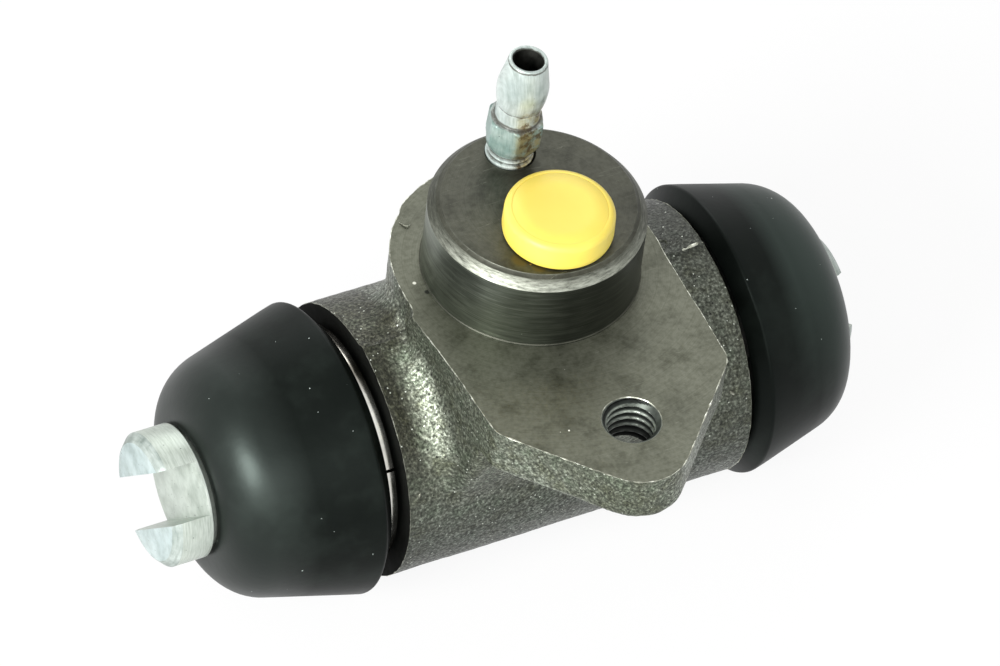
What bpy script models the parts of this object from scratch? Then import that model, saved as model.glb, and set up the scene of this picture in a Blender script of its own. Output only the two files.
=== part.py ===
"""Wheel cylinder of a drum brake, in metres, +Z up.

The housing is one iron casting: a barrel along X, a mounting flange with a lobe towards -Y, and a
round boss on top that locates the cylinder in the backing plate. Two slotted pistons slide along
the bore, each behind a rubber cup, a pressed steel cup expander and one shared return spring. A
rubber boot with a steel clamp ring closes each end. The boss holds the bleed screw and, in the
brake pipe's port, a plastic transport plug.

The origin is on the machined flange face, on the boss axis.
"""

import math

import bmesh
import bpy
from mathutils import Matrix, Vector

# Clearances
SEAT_GAP = 0.0003
RUNNING_GAP = 0.0001

# Bore and barrel
BORE_DIAMETER = 0.01905
BORE_AXIS_DROP = 0.0252
BARREL_DIAMETER = 0.0387
BARREL_CAST_LENGTH = 0.0521
BARREL_CAST_SHIFT = 0.0007
LAND_LENGTH = 0.0080
LAND_DIAMETER = 0.0272
LAND_GROOVE_DEPTH = 0.0010
LAND_GROOVE_WIDTH = 0.0020
LAND_GROOVE_SETBACK = 0.0034
BORE_MOUTH_CHAMFER = 0.0008
LAND_END_CHAMFER = 0.0010

# Mounting flange
FLANGE_LEDGE = 0.0035
FLANGE_OFFSET = -0.0003
FLANGE_SIDE_TAPER = 0.0008
FLANGE_THICKNESS = 0.0076
FLANGE_CORNER_REACH = 0.0256
FLANGE_CORNER_RADIUS = 0.0032
FLANGE_BACK_SWELL = 0.0008
FLANGE_BACK_STEP = 0.0006
FLANGE_BACK_STEP_ANGLE = math.radians(52)
FLANGE_LOWER_ROUND = 0.0009
HOLE_REACH = 0.0304
LOBE_REACH = 0.0345
LOBE_OFFSET = -0.0009
LOBE_RADIUS = 0.0069
CAST_FILLET_RADIUS = 0.0050
FILLET_BACK_ANGLE = math.radians(9)
FILLET_FRONT_ANGLE = math.radians(68)
PEDESTAL_FLARE = 0.0030
WEB_REACH = 0.0225
WEB_FOOT_ANGLE = math.radians(72)
WEB_ROUND = 0.0030

# Thread of the mounting hole, cut at its outer diameter
HOLE_THREAD_DIAMETER = 0.0081
HOLE_COUNTERSINK = 0.0003

# Boss
BOSS_DIAMETER = 0.0298
BOSS_HEIGHT = 0.0124
BOSS_CHAMFER_WIDTH = 0.0015
BOSS_CHAMFER_DEPTH = 0.0018
BOSS_ROOT_STEP = 0.0002
BOSS_ROOT_HEIGHT = 0.0010

# Brake pipe port and its transport plug
PORT_REACH = 0.0056
PORT_DIAMETER = 0.0092
PORT_DEPTH = 0.0100
PORT_MOUTH_CHAMFER = 0.0006
PORT_CONE_DEPTH = 0.0018
FEED_DIAMETER = 0.0030
PLUG_HEAD_DIAMETER = 0.0152
PLUG_HEAD_HEIGHT = 0.0040
PLUG_EDGE_RADIUS = 0.0011
PLUG_STEM_LENGTH = 0.0072
PLUG_WALL = 0.0013

# Bleed screw and its hole, which is set in from the boss's edge
BLEED_EDGE = 0.0053
BLEED_OFFSET = 0.0003
BLEED_TILT = math.radians(3.6)
BLEED_THREAD_DIAMETER = 0.0060
BLEED_HOLE_DEPTH = 0.0128
BLEED_MOUTH_CHAMFER = 0.0005
BLEED_FEED_DIAMETER = 0.0018
BLEED_PASSAGE_DIAMETER = 0.0017
BLEED_CROSS_DIAMETER = 0.0013
BLEED_CONE_LENGTH = 0.0024
BLEED_TIP_DIAMETER = 0.0020
BLEED_HEX_ACROSS_FLATS = 0.0070
BLEED_HEX_BOTTOM = 0.0032
BLEED_HEX_HEIGHT = 0.0032
BLEED_NECK_DIAMETER = 0.0055
BLEED_NECK_HEIGHT = 0.0016
BLEED_BULGE_DIAMETER = 0.0068
BLEED_BULGE_HEIGHT = 0.0064
BLEED_NIPPLE_HEIGHT = 0.0114
BLEED_NIPPLE_DIAMETER = 0.0054
BLEED_NIPPLE_BORE = 0.0036
BLEED_NIPPLE_BORE_DEPTH = 0.0050

# Pistons, and how far their ends stand out of the barrel at rest
LEFT_PISTON_PROUD = 0.02155
RIGHT_PISTON_PROUD = 0.01415
PISTON_LENGTH = 0.0320
PISTON_CHAMFER = 0.0011
PISTON_GROOVE_SETBACK = 0.0058
PISTON_GROOVE_WIDTH = 0.0028
PISTON_GROOVE_DEPTH = 0.0011
SLOT_WIDTH = 0.0075
SLOT_DEPTH = 0.0053
LEFT_SLOT_ANGLE = math.radians(49)
RIGHT_SLOT_ANGLE = math.radians(34.5)

# Cup seals, expanders and return spring
CUP_BASE_THICKNESS = 0.0028
CUP_HEIGHT = 0.0056
CUP_LIP_THICKNESS = 0.0012
CUP_BASE_CLEARANCE = 0.0006
CUP_FLOOR_DIAMETER = 0.0136
EXPANDER_SHEET = 0.0008
EXPANDER_RIM_HEIGHT = 0.0014
EXPANDER_PILOT_DIAMETER = 0.0060
EXPANDER_PILOT_HEIGHT = 0.0016
SPRING_WIRE = 0.0011
SPRING_DIAMETER = 0.0096
SPRING_TURNS = 6.5
SPRING_END_TURNS = 0.9

# Boots and clamp rings. A nose's distance is from the cylinder's centre; the rim's two steps
# are from the cast barrel's end, and the skirt's is from the rim.
BOOT_WALL = 0.0016
BOOT_RIM_DIAMETER = 0.0414
BOOT_RIM_STEP = 0.00335
BOOT_RIM_ROUND = 0.0005
BOOT_RIM_BACK_DIAMETER = 0.0370
BOOT_RIM_BACK_STEP = 0.0016
BOOT_SKIRT_STEP = 0.0020
BOOT_SKIRT_DIAMETER = 0.0404
BOOT_CONE_SLOPE = 0.27
LEFT_BOOT_SHOULDER_ROUND = 0.0085
RIGHT_BOOT_SHOULDER_ROUND = 0.0076
LEFT_BOOT_NOSE_INSET = 0.0074
RIGHT_BOOT_NOSE_INSET = 0.0028
RIGHT_BOOT_FOLD_DIAMETER = 0.0214
BOOT_LIP_INSET = 0.0064
BOOT_LIP_THICKNESS = 0.0015
BOOT_SEAT_LIP_DIAMETER = 0.0326
BOOT_SEAT_LIP_THICKNESS = 0.0004
BOOT_COLLAR_WALL = 0.0011
RING_THICKNESS = 0.0014
RING_WIDTH = 0.0019
RING_SPLIT = 0.0008
RING_SPLIT_ANGLE = math.radians(32.4)

# Facets round each kind of piece
BARREL_FACETS = 48
BORE_FACETS = 36
BOOT_FACETS = 40
SMALL_FACETS = 18
ARC_STEPS = 4

BORE_RADIUS = BORE_DIAMETER / 2 + RUNNING_GAP / 2
PISTON_RADIUS = BORE_DIAMETER / 2 - RUNNING_GAP / 2
BARREL_RADIUS = BARREL_DIAMETER / 2
LAND_RADIUS = LAND_DIAMETER / 2
SHOULDER = BARREL_CAST_LENGTH / 2
BARREL_LENGTH = BARREL_CAST_LENGTH + 2 * LAND_LENGTH
BLEED_REACH = BOSS_DIAMETER / 2 - BLEED_EDGE
LEFT_PISTON_REACH = BARREL_LENGTH / 2 + LEFT_PISTON_PROUD
RIGHT_PISTON_REACH = BARREL_LENGTH / 2 + RIGHT_PISTON_PROUD
LEFT_BOOT_NOSE_REACH = LEFT_PISTON_REACH - LEFT_BOOT_NOSE_INSET
RIGHT_BOOT_NOSE_REACH = RIGHT_PISTON_REACH - RIGHT_BOOT_NOSE_INSET
FLANGE_WIDTH = BOSS_DIAMETER + 2 * FLANGE_LEDGE
FLANGE_HALF_WIDTH = FLANGE_WIDTH / 2
FLANGE_BACK_RADIUS = FLANGE_HALF_WIDTH + FLANGE_BACK_SWELL
WEB_HALF_WIDTH = FLANGE_HALF_WIDTH - FLANGE_SIDE_TAPER
BOOT_RIM_REACH = SHOULDER + BOOT_RIM_STEP
BOOT_RIM_BACK_REACH = SHOULDER + BOOT_RIM_BACK_STEP
BOOT_SKIRT_REACH = BOOT_RIM_REACH + BOOT_SKIRT_STEP
COLLAR_INNER_RADIUS = LAND_RADIUS + SEAT_GAP
COLLAR_OUTER_RADIUS = COLLAR_INNER_RADIUS + BOOT_COLLAR_WALL
RING_INNER_RADIUS = COLLAR_OUTER_RADIUS + SEAT_GAP
RING_OUTER_RADIUS = RING_INNER_RADIUS + RING_THICKNESS


def clear_scene():
    for obj in list(bpy.data.objects):
        bpy.data.objects.remove(obj, do_unlink=True)


def material(name, colour, roughness, metallic):
    made = bpy.data.materials.new(name)
    made.use_nodes = True
    shader = made.node_tree.nodes["Principled BSDF"]
    shader.inputs["Base Color"].default_value = (*colour, 1)
    shader.inputs["Roughness"].default_value = roughness
    shader.inputs["Metallic"].default_value = metallic
    return made


def add_object(name, bm, finish=None):
    """Makes an object of a bmesh, smooth where its faces meet at less than 35 degrees."""
    bmesh.ops.recalc_face_normals(bm, faces=bm.faces)
    mesh = bpy.data.meshes.new(name)
    bm.to_mesh(mesh)
    bm.free()
    mesh.shade_smooth()
    mesh.set_sharp_from_angle(angle=math.radians(35))
    obj = bpy.data.objects.new(name, mesh)
    if finish:
        mesh.materials.append(finish)
    bpy.context.scene.collection.objects.link(obj)
    return obj


def loft(name, rings, finish=None, hollow=False):
    """Skins rings of equally many points. A hollow loft joins its last ring to its first one."""
    bm = bmesh.new()
    made = [[bm.verts.new(point) for point in ring] for ring in rings]
    count = len(made[0])
    pairs = list(zip(made, made[1:]))
    if hollow:
        pairs.append((made[-1], made[0]))
    for near, far in pairs:
        for i in range(count):
            j = (i + 1) % count
            bm.faces.new((near[i], near[j], far[j], far[i]))
    if not hollow:
        bm.faces.new(made[0])
        bm.faces.new(made[-1])
    return add_object(name, bm, finish)


def circle(radius, height, facets):
    turn = 2 * math.pi / facets
    return [
        (radius * math.cos(i * turn), radius * math.sin(i * turn), height)
        for i in range(facets)
    ]


def turned(name, profile, facets, finish=None, hollow=False):
    """Turns a profile of (radius, height) points about Z."""
    rings = [circle(radius, height, facets) for radius, height in profile]
    return loft(name, rings, finish, hollow)


def place(obj, location=(0, 0, 0), rotation=(0, 0, 0)):
    obj.location = location
    obj.rotation_euler = rotation
    return obj


def along_bore(obj, side):
    """Lays a piece turned about Z on the bore axis, its +Z pointing out of that side."""
    return place(obj, (0, 0, -BORE_AXIS_DROP), (0, side * math.pi / 2, 0))


def combine(target, other, operation):
    """Adds a Boolean with a helper, which then stays out of the picture."""
    boolean = target.modifiers.new(other.name, "BOOLEAN")
    boolean.operation = operation
    boolean.object = other
    boolean.solver = "EXACT"
    other.hide_render = True
    other.display_type = "WIRE"
    return target


def rounded_path(corners, radii, steps=ARC_STEPS):
    """A path through 2D corners, each inner one replaced by an arc of its radius."""
    path = [corners[0]]
    for before, corner, after, radius in zip(corners, corners[1:], corners[2:], radii):
        path += corner_arc(before, corner, after, radius, steps)
    path.append(corners[-1])
    return path


def corner_arc(before, corner, after, radius, steps):
    at, back, on = Vector(corner), Vector(before), Vector(after)
    inward = (back - at).normalized()
    outward = (on - at).normalized()
    half = inward.angle(outward) / 2
    if radius <= 0 or half > math.radians(89):
        return [corner]
    start = at + inward * (radius / math.tan(half))
    end = at + outward * (radius / math.tan(half))
    centre = at + (inward + outward).normalized() * (radius / math.sin(half))
    first = start - centre
    sweep = first.angle_signed(end - centre)
    points = []
    for i in range(steps + 1):
        angle = -sweep * i / steps
        turned_arm = Matrix.Rotation(angle, 2) @ first
        points.append(tuple(centre + turned_arm))
    return points


def offset_corners(corners, distance):
    """Moves an open 2D path of corners sideways, to its right, keeping its walls parallel."""
    moved = []
    for i, corner in enumerate(corners):
        before = corners[max(i - 1, 0)]
        after = corners[min(i + 1, len(corners) - 1)]
        first = (Vector(corner) - Vector(before)) if i else (Vector(after) - Vector(corner))
        last = (Vector(after) - Vector(corner)) if i < len(corners) - 1 else first
        one = Vector((first.y, -first.x)).normalized()
        two = Vector((last.y, -last.x)).normalized()
        mitre = (one + two).normalized()
        moved.append(tuple(Vector(corner) + mitre * (distance / mitre.dot(one))))
    return moved


def shoulder(side):
    """Distance from the centre to the end of the cast barrel on one side."""
    return SHOULDER + side * BARREL_CAST_SHIFT


def lobe_slope(side):
    """The slanted side's rise from the lobe to its corner, for each unit across."""
    across = WEB_HALF_WIDTH - side * (LOBE_OFFSET - FLANGE_OFFSET)
    down = LOBE_REACH - FLANGE_CORNER_REACH
    slant = math.atan2(down, across) + math.asin(LOBE_RADIUS / math.hypot(across, down))
    return math.tan(slant)


def lobe_apex():
    """Where the flange's two slanted sides would meet, beyond the lobe, as (x, y)."""
    right, left = lobe_slope(1), lobe_slope(-1)
    x = WEB_HALF_WIDTH * (right - left) / (right + left)
    y = -FLANGE_CORNER_REACH - right * (WEB_HALF_WIDTH - x)
    return x + FLANGE_OFFSET, y


def flange_outline():
    """The flange seen from above, from the back of its right side clockwise to the left."""
    side_top = math.sqrt(FLANGE_BACK_RADIUS**2 - FLANGE_HALF_WIDTH**2)
    corners = [
        (FLANGE_OFFSET + FLANGE_HALF_WIDTH, side_top),
        (FLANGE_OFFSET + WEB_HALF_WIDTH, -FLANGE_CORNER_REACH),
        lobe_apex(),
        (FLANGE_OFFSET - WEB_HALF_WIDTH, -FLANGE_CORNER_REACH),
        (FLANGE_OFFSET - FLANGE_HALF_WIDTH, side_top),
    ]
    radii = [FLANGE_CORNER_RADIUS, LOBE_RADIUS, FLANGE_CORNER_RADIUS]
    path = rounded_path(corners, radii, steps=8)
    return path + back_arc(math.asin(side_top / FLANGE_BACK_RADIUS))


def back_arc(start):
    """The flange's round back, with the step where its raised middle part begins."""
    stepped = FLANGE_BACK_RADIUS + FLANGE_BACK_STEP
    low = [start + (FLANGE_BACK_STEP_ANGLE - start) * i / 4 for i in range(1, 5)]
    high = [
        FLANGE_BACK_STEP_ANGLE + (math.pi - 2 * FLANGE_BACK_STEP_ANGLE) * i / 12
        for i in range(13)
    ]
    right = [(FLANGE_BACK_RADIUS * math.cos(a), FLANGE_BACK_RADIUS * math.sin(a)) for a in low]
    middle = [(stepped * math.cos(a), stepped * math.sin(a)) for a in high]
    left = [(-x, y) for x, y in right]
    whole = left + [(-x, y) for x, y in middle] + right[::-1]
    return [(x + FLANGE_OFFSET, y) for x, y in whole]


def plate(name, top, bottom, lower_round=0.0):
    """A plate of the flange's outline, its lower edge rounded if asked."""
    outline = flange_outline()
    rings = [[(x, y, z) for x, y in outline] for z in (top, bottom)]
    obj = loft(name, rings)
    if lower_round:
        bm = bmesh.new()
        bm.from_mesh(obj.data)
        edges = [e for e in bm.edges if all(v.co.z < bottom + 1e-6 for v in e.verts)]
        bmesh.ops.bevel(
            bm, geom=edges, offset=lower_round, segments=2, profile=0.5, affect="EDGES"
        )
        bm.to_mesh(obj.data)
        bm.free()
    return obj


def pedestal():
    """The round column under the flange, flared to meet it and cut to the flange's outline."""
    under = -FLANGE_THICKNESS + FLANGE_LOWER_ROUND
    flare_foot = -FLANGE_THICKNESS - PEDESTAL_FLARE
    radius = FLANGE_HALF_WIDTH
    corners = [
        (radius, -BORE_AXIS_DROP),
        (radius, flare_foot - PEDESTAL_FLARE),
        (radius, -FLANGE_THICKNESS),
        (radius + 2 * PEDESTAL_FLARE, -FLANGE_THICKNESS),
        (radius + 2 * PEDESTAL_FLARE, under),
    ]
    profile = rounded_path(corners[:1] + corners[2:], [PEDESTAL_FLARE, 0])
    column = turned("pedestal", profile, BARREL_FACETS)
    prism = plate("pedestal_outline", under + PEDESTAL_FLARE, -BORE_AXIS_DROP - PEDESTAL_FLARE)
    return combine(column, prism, "INTERSECT")


def web():
    """The solid web that carries the flange's front part down to the barrel's front."""
    half = WEB_HALF_WIDTH - SEAT_GAP / 10
    under = -FLANGE_THICKNESS
    foot = (-BARREL_RADIUS * math.sin(WEB_FOOT_ANGLE),
            BARREL_RADIUS * math.cos(WEB_FOOT_ANGLE) - BORE_AXIS_DROP)
    side = [
        (0, under + FLANGE_LOWER_ROUND),
        (-WEB_REACH, under + FLANGE_LOWER_ROUND),
        (-WEB_REACH, under),
        foot,
        (foot[0] + WEB_ROUND, foot[1]),
        (0, under - WEB_ROUND),
    ]
    path = rounded_path(side[1:5], [0, WEB_ROUND])
    outline = [side[0]] + path + [side[5]]
    ends = (FLANGE_OFFSET - half, FLANGE_OFFSET + half)
    rings = [[(x, y, z) for y, z in outline] for x in ends]
    return loft("web", rings)


def cast_fillet(name, side):
    """The concave blend along one side of the flange and web, swept round the barrel."""
    rings = []
    steps = 12
    for i in range(steps + 1):
        angle = FILLET_BACK_ANGLE + (FILLET_FRONT_ANGLE - FILLET_BACK_ANGLE) * i / steps
        ease = min(1.0, (i + 1.4) / 4, (steps - i + 1) / 4)
        rings.append(fillet_section(angle, CAST_FILLET_RADIUS * ease, side))
    return loft(name, rings)


def fillet_section(angle, radius, side):
    """One section of the blend, as seen in a plane through the bore's axis."""
    wall = WEB_HALF_WIDTH - SEAT_GAP / 4 + side * FLANGE_OFFSET
    ground = BARREL_RADIUS - SEAT_GAP / 4
    points = []
    for i in range(6):
        arc = math.pi / 2 * i / 5
        points.append((wall + radius * (1 - math.cos(arc)), ground + radius * (1 - math.sin(arc))))
    root = ground - CAST_FILLET_RADIUS / 2
    points += [(wall + radius, root), (wall - 2 * SEAT_GAP, root)]
    points.append((wall - 2 * SEAT_GAP, ground + radius))
    return [
        (side * x, -reach * math.sin(angle), reach * math.cos(angle) - BORE_AXIS_DROP)
        for x, reach in points
    ]


def barrel():
    """The barrel with its turned ends, made along Z and laid on the bore axis."""
    end = BARREL_LENGTH / 2
    groove_out = end - LAND_GROOVE_SETBACK
    groove_in = groove_out - LAND_GROOVE_WIDTH
    half = [
        (LAND_RADIUS, groove_in),
        (LAND_RADIUS - LAND_GROOVE_DEPTH, groove_in),
        (LAND_RADIUS - LAND_GROOVE_DEPTH, groove_out),
        (LAND_RADIUS, groove_out),
        (LAND_RADIUS, end - LAND_END_CHAMFER),
        (LAND_RADIUS - LAND_END_CHAMFER, end),
    ]
    cast = [
        (LAND_RADIUS, -shoulder(-1)),
        (BARREL_RADIUS, -shoulder(-1)),
        (BARREL_RADIUS, shoulder(1)),
        (LAND_RADIUS, shoulder(1)),
    ]
    profile = [(r, -z) for r, z in half[::-1]] + cast + half
    return along_bore(turned("housing", profile, BARREL_FACETS), 1)


def boss():
    """The turned boss, with its chamfer and the slightly larger root."""
    radius = BOSS_DIAMETER / 2
    profile = [
        (radius + BOSS_ROOT_STEP, -FLANGE_THICKNESS / 2),
        (radius + BOSS_ROOT_STEP, BOSS_ROOT_HEIGHT - BOSS_ROOT_STEP),
        (radius, BOSS_ROOT_HEIGHT),
        (radius, BOSS_HEIGHT - BOSS_CHAMFER_DEPTH),
        (radius - BOSS_CHAMFER_WIDTH, BOSS_HEIGHT),
    ]
    return turned("boss", profile, BARREL_FACETS)


def bore_cutter():
    end = BARREL_LENGTH / 2
    half = [
        (BORE_RADIUS, end - BORE_MOUTH_CHAMFER),
        (BORE_RADIUS + 2 * BORE_MOUTH_CHAMFER, end + BORE_MOUTH_CHAMFER),
    ]
    profile = [(r, -z) for r, z in half[::-1]] + half
    return along_bore(turned("bore_cutter", profile, BORE_FACETS), 1)


def hole_cutter(name, diameter, depth, mouth_chamfer, cone_depth, feed_diameter, feed_end):
    """A stepped hole from Z = 0 down: mouth chamfer, thread, cone and fluid drilling."""
    radius, feed = diameter / 2, feed_diameter / 2
    profile = [
        (radius + 2 * mouth_chamfer, mouth_chamfer),
        (radius, -mouth_chamfer),
        (radius, -depth),
        (feed, -depth - cone_depth),
        (feed, feed_end),
    ]
    return turned(name, profile, SMALL_FACETS)


def port_cutter():
    """The brake pipe's port, with its cone seat and the drilling down into the bore."""
    cutter = hole_cutter(
        "port_cutter", PORT_DIAMETER, PORT_DEPTH, PORT_MOUTH_CHAMFER,
        PORT_CONE_DEPTH, FEED_DIAMETER, -BOSS_HEIGHT - BORE_AXIS_DROP + BORE_RADIUS / 2,
    )
    return place(cutter, (0, -PORT_REACH, BOSS_HEIGHT))


def bleed_frame():
    return (BLEED_OFFSET, BLEED_REACH, BOSS_HEIGHT), (0, BLEED_TILT, 0)


def bleed_cutter():
    """The bleed screw's hole, ending in the cone that the screw closes against."""
    radius = BLEED_THREAD_DIAMETER / 2 + SEAT_GAP
    cone = BLEED_CONE_LENGTH * (radius - BLEED_FEED_DIAMETER / 2) / (radius - BLEED_TIP_DIAMETER / 2)
    cutter = hole_cutter(
        "bleed_cutter", 2 * radius, BLEED_HOLE_DEPTH, BLEED_MOUTH_CHAMFER,
        cone, BLEED_FEED_DIAMETER, -BOSS_HEIGHT - BORE_AXIS_DROP + BORE_RADIUS / 3,
    )
    return place(cutter, *bleed_frame())


def mounting_hole_cutter():
    radius = HOLE_THREAD_DIAMETER / 2
    flare = radius + 2 * HOLE_COUNTERSINK
    profile = [
        (flare, HOLE_COUNTERSINK),
        (radius, -HOLE_COUNTERSINK),
        (radius, HOLE_COUNTERSINK - FLANGE_THICKNESS),
        (flare, -HOLE_COUNTERSINK - FLANGE_THICKNESS),
    ]
    cutter = turned("mounting_hole_cutter", profile, 2 * SMALL_FACETS)
    return place(cutter, (0, -HOLE_REACH, 0))


def housing(finish):
    """The casting with everything that is machined in it."""
    body = barrel()
    body.data.materials.append(finish)
    combine(body, pedestal(), "UNION")
    combine(body, web(), "UNION")
    combine(body, cast_fillet("right_fillet", 1), "UNION")
    combine(body, cast_fillet("left_fillet", -1), "UNION")
    combine(body, plate("flange", 0, -FLANGE_THICKNESS, FLANGE_LOWER_ROUND), "UNION")
    combine(body, boss(), "UNION")
    for cutter in (bore_cutter(), port_cutter(), bleed_cutter(), mounting_hole_cutter()):
        combine(body, cutter, "DIFFERENCE")
    return body


def piston(name, reach, slot_angle, side, finish):
    """A turned piston with its boot groove and the slot for the brake shoe's web."""
    groove_out = reach - PISTON_GROOVE_SETBACK
    groove_in = groove_out - PISTON_GROOVE_WIDTH
    rear = reach - PISTON_LENGTH
    profile = [
        (PISTON_RADIUS - PISTON_CHAMFER / 2, rear),
        (PISTON_RADIUS, rear + PISTON_CHAMFER / 2),
        (PISTON_RADIUS, groove_in),
        (PISTON_RADIUS - PISTON_GROOVE_DEPTH, groove_in),
        (PISTON_RADIUS - PISTON_GROOVE_DEPTH, groove_out),
        (PISTON_RADIUS, groove_out),
        (PISTON_RADIUS, reach - PISTON_CHAMFER),
        (PISTON_RADIUS - PISTON_CHAMFER, reach),
    ]
    body = along_bore(turned(name, profile, BORE_FACETS, finish), side)
    bm = bmesh.new()
    bmesh.ops.create_cube(bm, size=1)
    bmesh.ops.scale(bm, vec=(2 * SLOT_DEPTH, 3 * PISTON_RADIUS, SLOT_WIDTH), verts=bm.verts)
    slot = add_object(name + "_slot", bm)
    place(slot, (side * reach, 0, -BORE_AXIS_DROP), (-slot_angle, 0, 0))
    return combine(body, slot, "DIFFERENCE")


def cup_seal(name, reach, side, finish):
    """The rubber cup against the piston's rear, its lip towards the fluid."""
    back = reach - PISTON_LENGTH - SEAT_GAP
    lip = PISTON_RADIUS
    base = lip - CUP_BASE_CLEARANCE
    floor = back - CUP_BASE_THICKNESS
    mouth = back - CUP_HEIGHT
    profile = [
        (base, back),
        (lip, mouth),
        (lip - CUP_LIP_THICKNESS, mouth),
        (CUP_FLOOR_DIAMETER / 2, floor),
    ]
    return along_bore(turned(name, profile, BORE_FACETS, finish), side)


def expander_seat(reach):
    """Distance from the centre to the face that the spring presses on."""
    return reach - PISTON_LENGTH - 2 * SEAT_GAP - CUP_BASE_THICKNESS - EXPANDER_SHEET


def expander(name, reach, side, finish):
    """The pressed dish that spreads the cup's lip and pilots the spring."""
    seat = expander_seat(reach)
    back = seat + EXPANDER_SHEET
    foot = CUP_FLOOR_DIAMETER / 2 - SEAT_GAP
    radius, pilot = foot + EXPANDER_SHEET / 2, EXPANDER_PILOT_DIAMETER / 2
    inner = radius - EXPANDER_SHEET
    rim = seat - EXPANDER_RIM_HEIGHT
    top = seat - EXPANDER_PILOT_HEIGHT
    profile = [
        (pilot - EXPANDER_SHEET, back),
        (foot, back),
        (radius, rim),
        (inner, rim),
        (inner - EXPANDER_SHEET / 2, seat),
        (pilot, seat),
        (pilot, top),
        (pilot - EXPANDER_SHEET, top),
    ]
    return along_bore(turned(name, profile, 2 * SMALL_FACETS, finish, hollow=True), side)


def spring_point(turn, start, length):
    """A point of the coil's centreline, its end turns laid close together."""
    free = SPRING_TURNS - 2 * SPRING_END_TURNS
    closed = SPRING_END_TURNS * SPRING_WIRE * 1.1
    rise = (length - 2 * closed) / free
    if turn < SPRING_END_TURNS:
        along = closed * turn / SPRING_END_TURNS
    elif turn > SPRING_TURNS - SPRING_END_TURNS:
        along = length - closed * (SPRING_TURNS - turn) / SPRING_END_TURNS
    else:
        along = closed + rise * (turn - SPRING_END_TURNS)
    angle = 2 * math.pi * turn
    radius = (SPRING_DIAMETER - SPRING_WIRE) / 2
    return start + along, radius * math.cos(angle), radius * math.sin(angle)


def return_spring(finish):
    """The coil between the two expanders, as one wire."""
    room = SEAT_GAP + SPRING_WIRE / 2
    start = -expander_seat(LEFT_PISTON_REACH) + room
    length = expander_seat(RIGHT_PISTON_REACH) - room - start
    curve = bpy.data.curves.new("return_spring", "CURVE")
    curve.dimensions = "3D"
    curve.bevel_depth = SPRING_WIRE / 2
    curve.bevel_resolution = 1
    curve.use_fill_caps = True
    steps = round(SPRING_TURNS * 16)
    spline = curve.splines.new("POLY")
    spline.points.add(steps)
    for i, point in enumerate(spline.points):
        point.co = (*spring_point(SPRING_TURNS * i / steps, start, length), 1)
    curve.materials.append(finish)
    spring = bpy.data.objects.new("return_spring", curve)
    bpy.context.scene.collection.objects.link(spring)
    return place(spring, (0, 0, -BORE_AXIS_DROP))


def boot_seat_profile(side):
    """The boot's hold on the barrel: seating lip, collar under the ring, and rim, as (z, r)."""
    back = shoulder(side) + SEAT_GAP
    front = back + BOOT_SEAT_LIP_THICKNESS
    lip = BOOT_SEAT_LIP_DIAMETER / 2
    recess = front + RING_WIDTH + 2 * SEAT_GAP
    roof = RING_OUTER_RADIUS + SEAT_GAP
    return [
        (back, COLLAR_INNER_RADIUS),
        (back, lip - BOOT_SEAT_LIP_THICKNESS / 2),
        (back + BOOT_SEAT_LIP_THICKNESS / 2, lip),
        (front, lip - BOOT_SEAT_LIP_THICKNESS / 2),
        (front, COLLAR_OUTER_RADIUS),
        (recess, COLLAR_OUTER_RADIUS),
        (recess, roof),
        (BOOT_RIM_BACK_REACH, roof),
        (BOOT_RIM_BACK_REACH, BOOT_RIM_BACK_DIAMETER / 2),
    ]


def boot_bead_profile(wall_start):
    """The inner bead that snaps into the land's groove, from the dome's wall back to the seat."""
    groove_out = BARREL_LENGTH / 2 - LAND_GROOVE_SETBACK - SEAT_GAP
    groove_in = groove_out - LAND_GROOVE_WIDTH + 2 * SEAT_GAP
    bottom = COLLAR_INNER_RADIUS - LAND_GROOVE_DEPTH
    return [
        (wall_start, COLLAR_INNER_RADIUS + BOOT_WALL / 2),
        (wall_start - BOOT_WALL / 2, COLLAR_INNER_RADIUS),
        (groove_out, COLLAR_INNER_RADIUS),
        (groove_out, bottom),
        (groove_in, bottom),
        (groove_in, COLLAR_INNER_RADIUS),
    ]


def boot_wall(reach, nose, shoulder_round, fold_diameter):
    """Corners of the boot's outer surface from its skirt to its lip, as (z, r), and their radii."""
    skirt_radius = BOOT_SKIRT_DIAMETER / 2
    nose_radius = skirt_radius - BOOT_CONE_SLOPE * (nose - BOOT_SKIRT_REACH)
    corners = [(BOOT_SKIRT_REACH, skirt_radius), (nose, nose_radius)]
    radii = [shoulder_round]
    if fold_diameter:
        corners.append((nose, fold_diameter / 2))
        radii.append(0)
    corners.append((reach - BOOT_LIP_INSET, PISTON_RADIUS + SEAT_GAP))
    return corners, radii


def boot(name, reach, nose, shoulder_round, fold_diameter, side, finish):
    """A rubber boot: rim, skirt, round shoulder, nose, and the lip in the piston's groove."""
    corners, radii = boot_wall(reach, nose, shoulder_round, fold_diameter)
    inner = offset_corners(corners, BOOT_WALL)
    inner_radii = [max(r - BOOT_WALL, 0) for r in radii]
    lip = corners[-1][0]
    foot = min(inner[-1][0], lip - BOOT_LIP_THICKNESS)
    groove = PISTON_RADIUS - PISTON_GROOVE_DEPTH + SEAT_GAP
    seat = boot_seat_profile(side)
    rim = (BOOT_RIM_REACH, BOOT_RIM_DIAMETER / 2)
    edge = rounded_path([seat[-1], rim, corners[0]], [BOOT_RIM_ROUND], 3)
    profile = seat + edge[1:-1] + rounded_path(corners, radii) + [(lip, groove), (foot, groove)]
    if foot < inner[-1][0] - SEAT_GAP / 3:
        profile.append((foot, inner[-1][1]))
    profile += rounded_path(inner, inner_radii)[::-1]
    profile += boot_bead_profile(inner[0][0])
    turned_profile = [(r, z) for z, r in profile]
    return along_bore(turned(name, turned_profile, BOOT_FACETS, finish, hollow=True), side)


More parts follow.
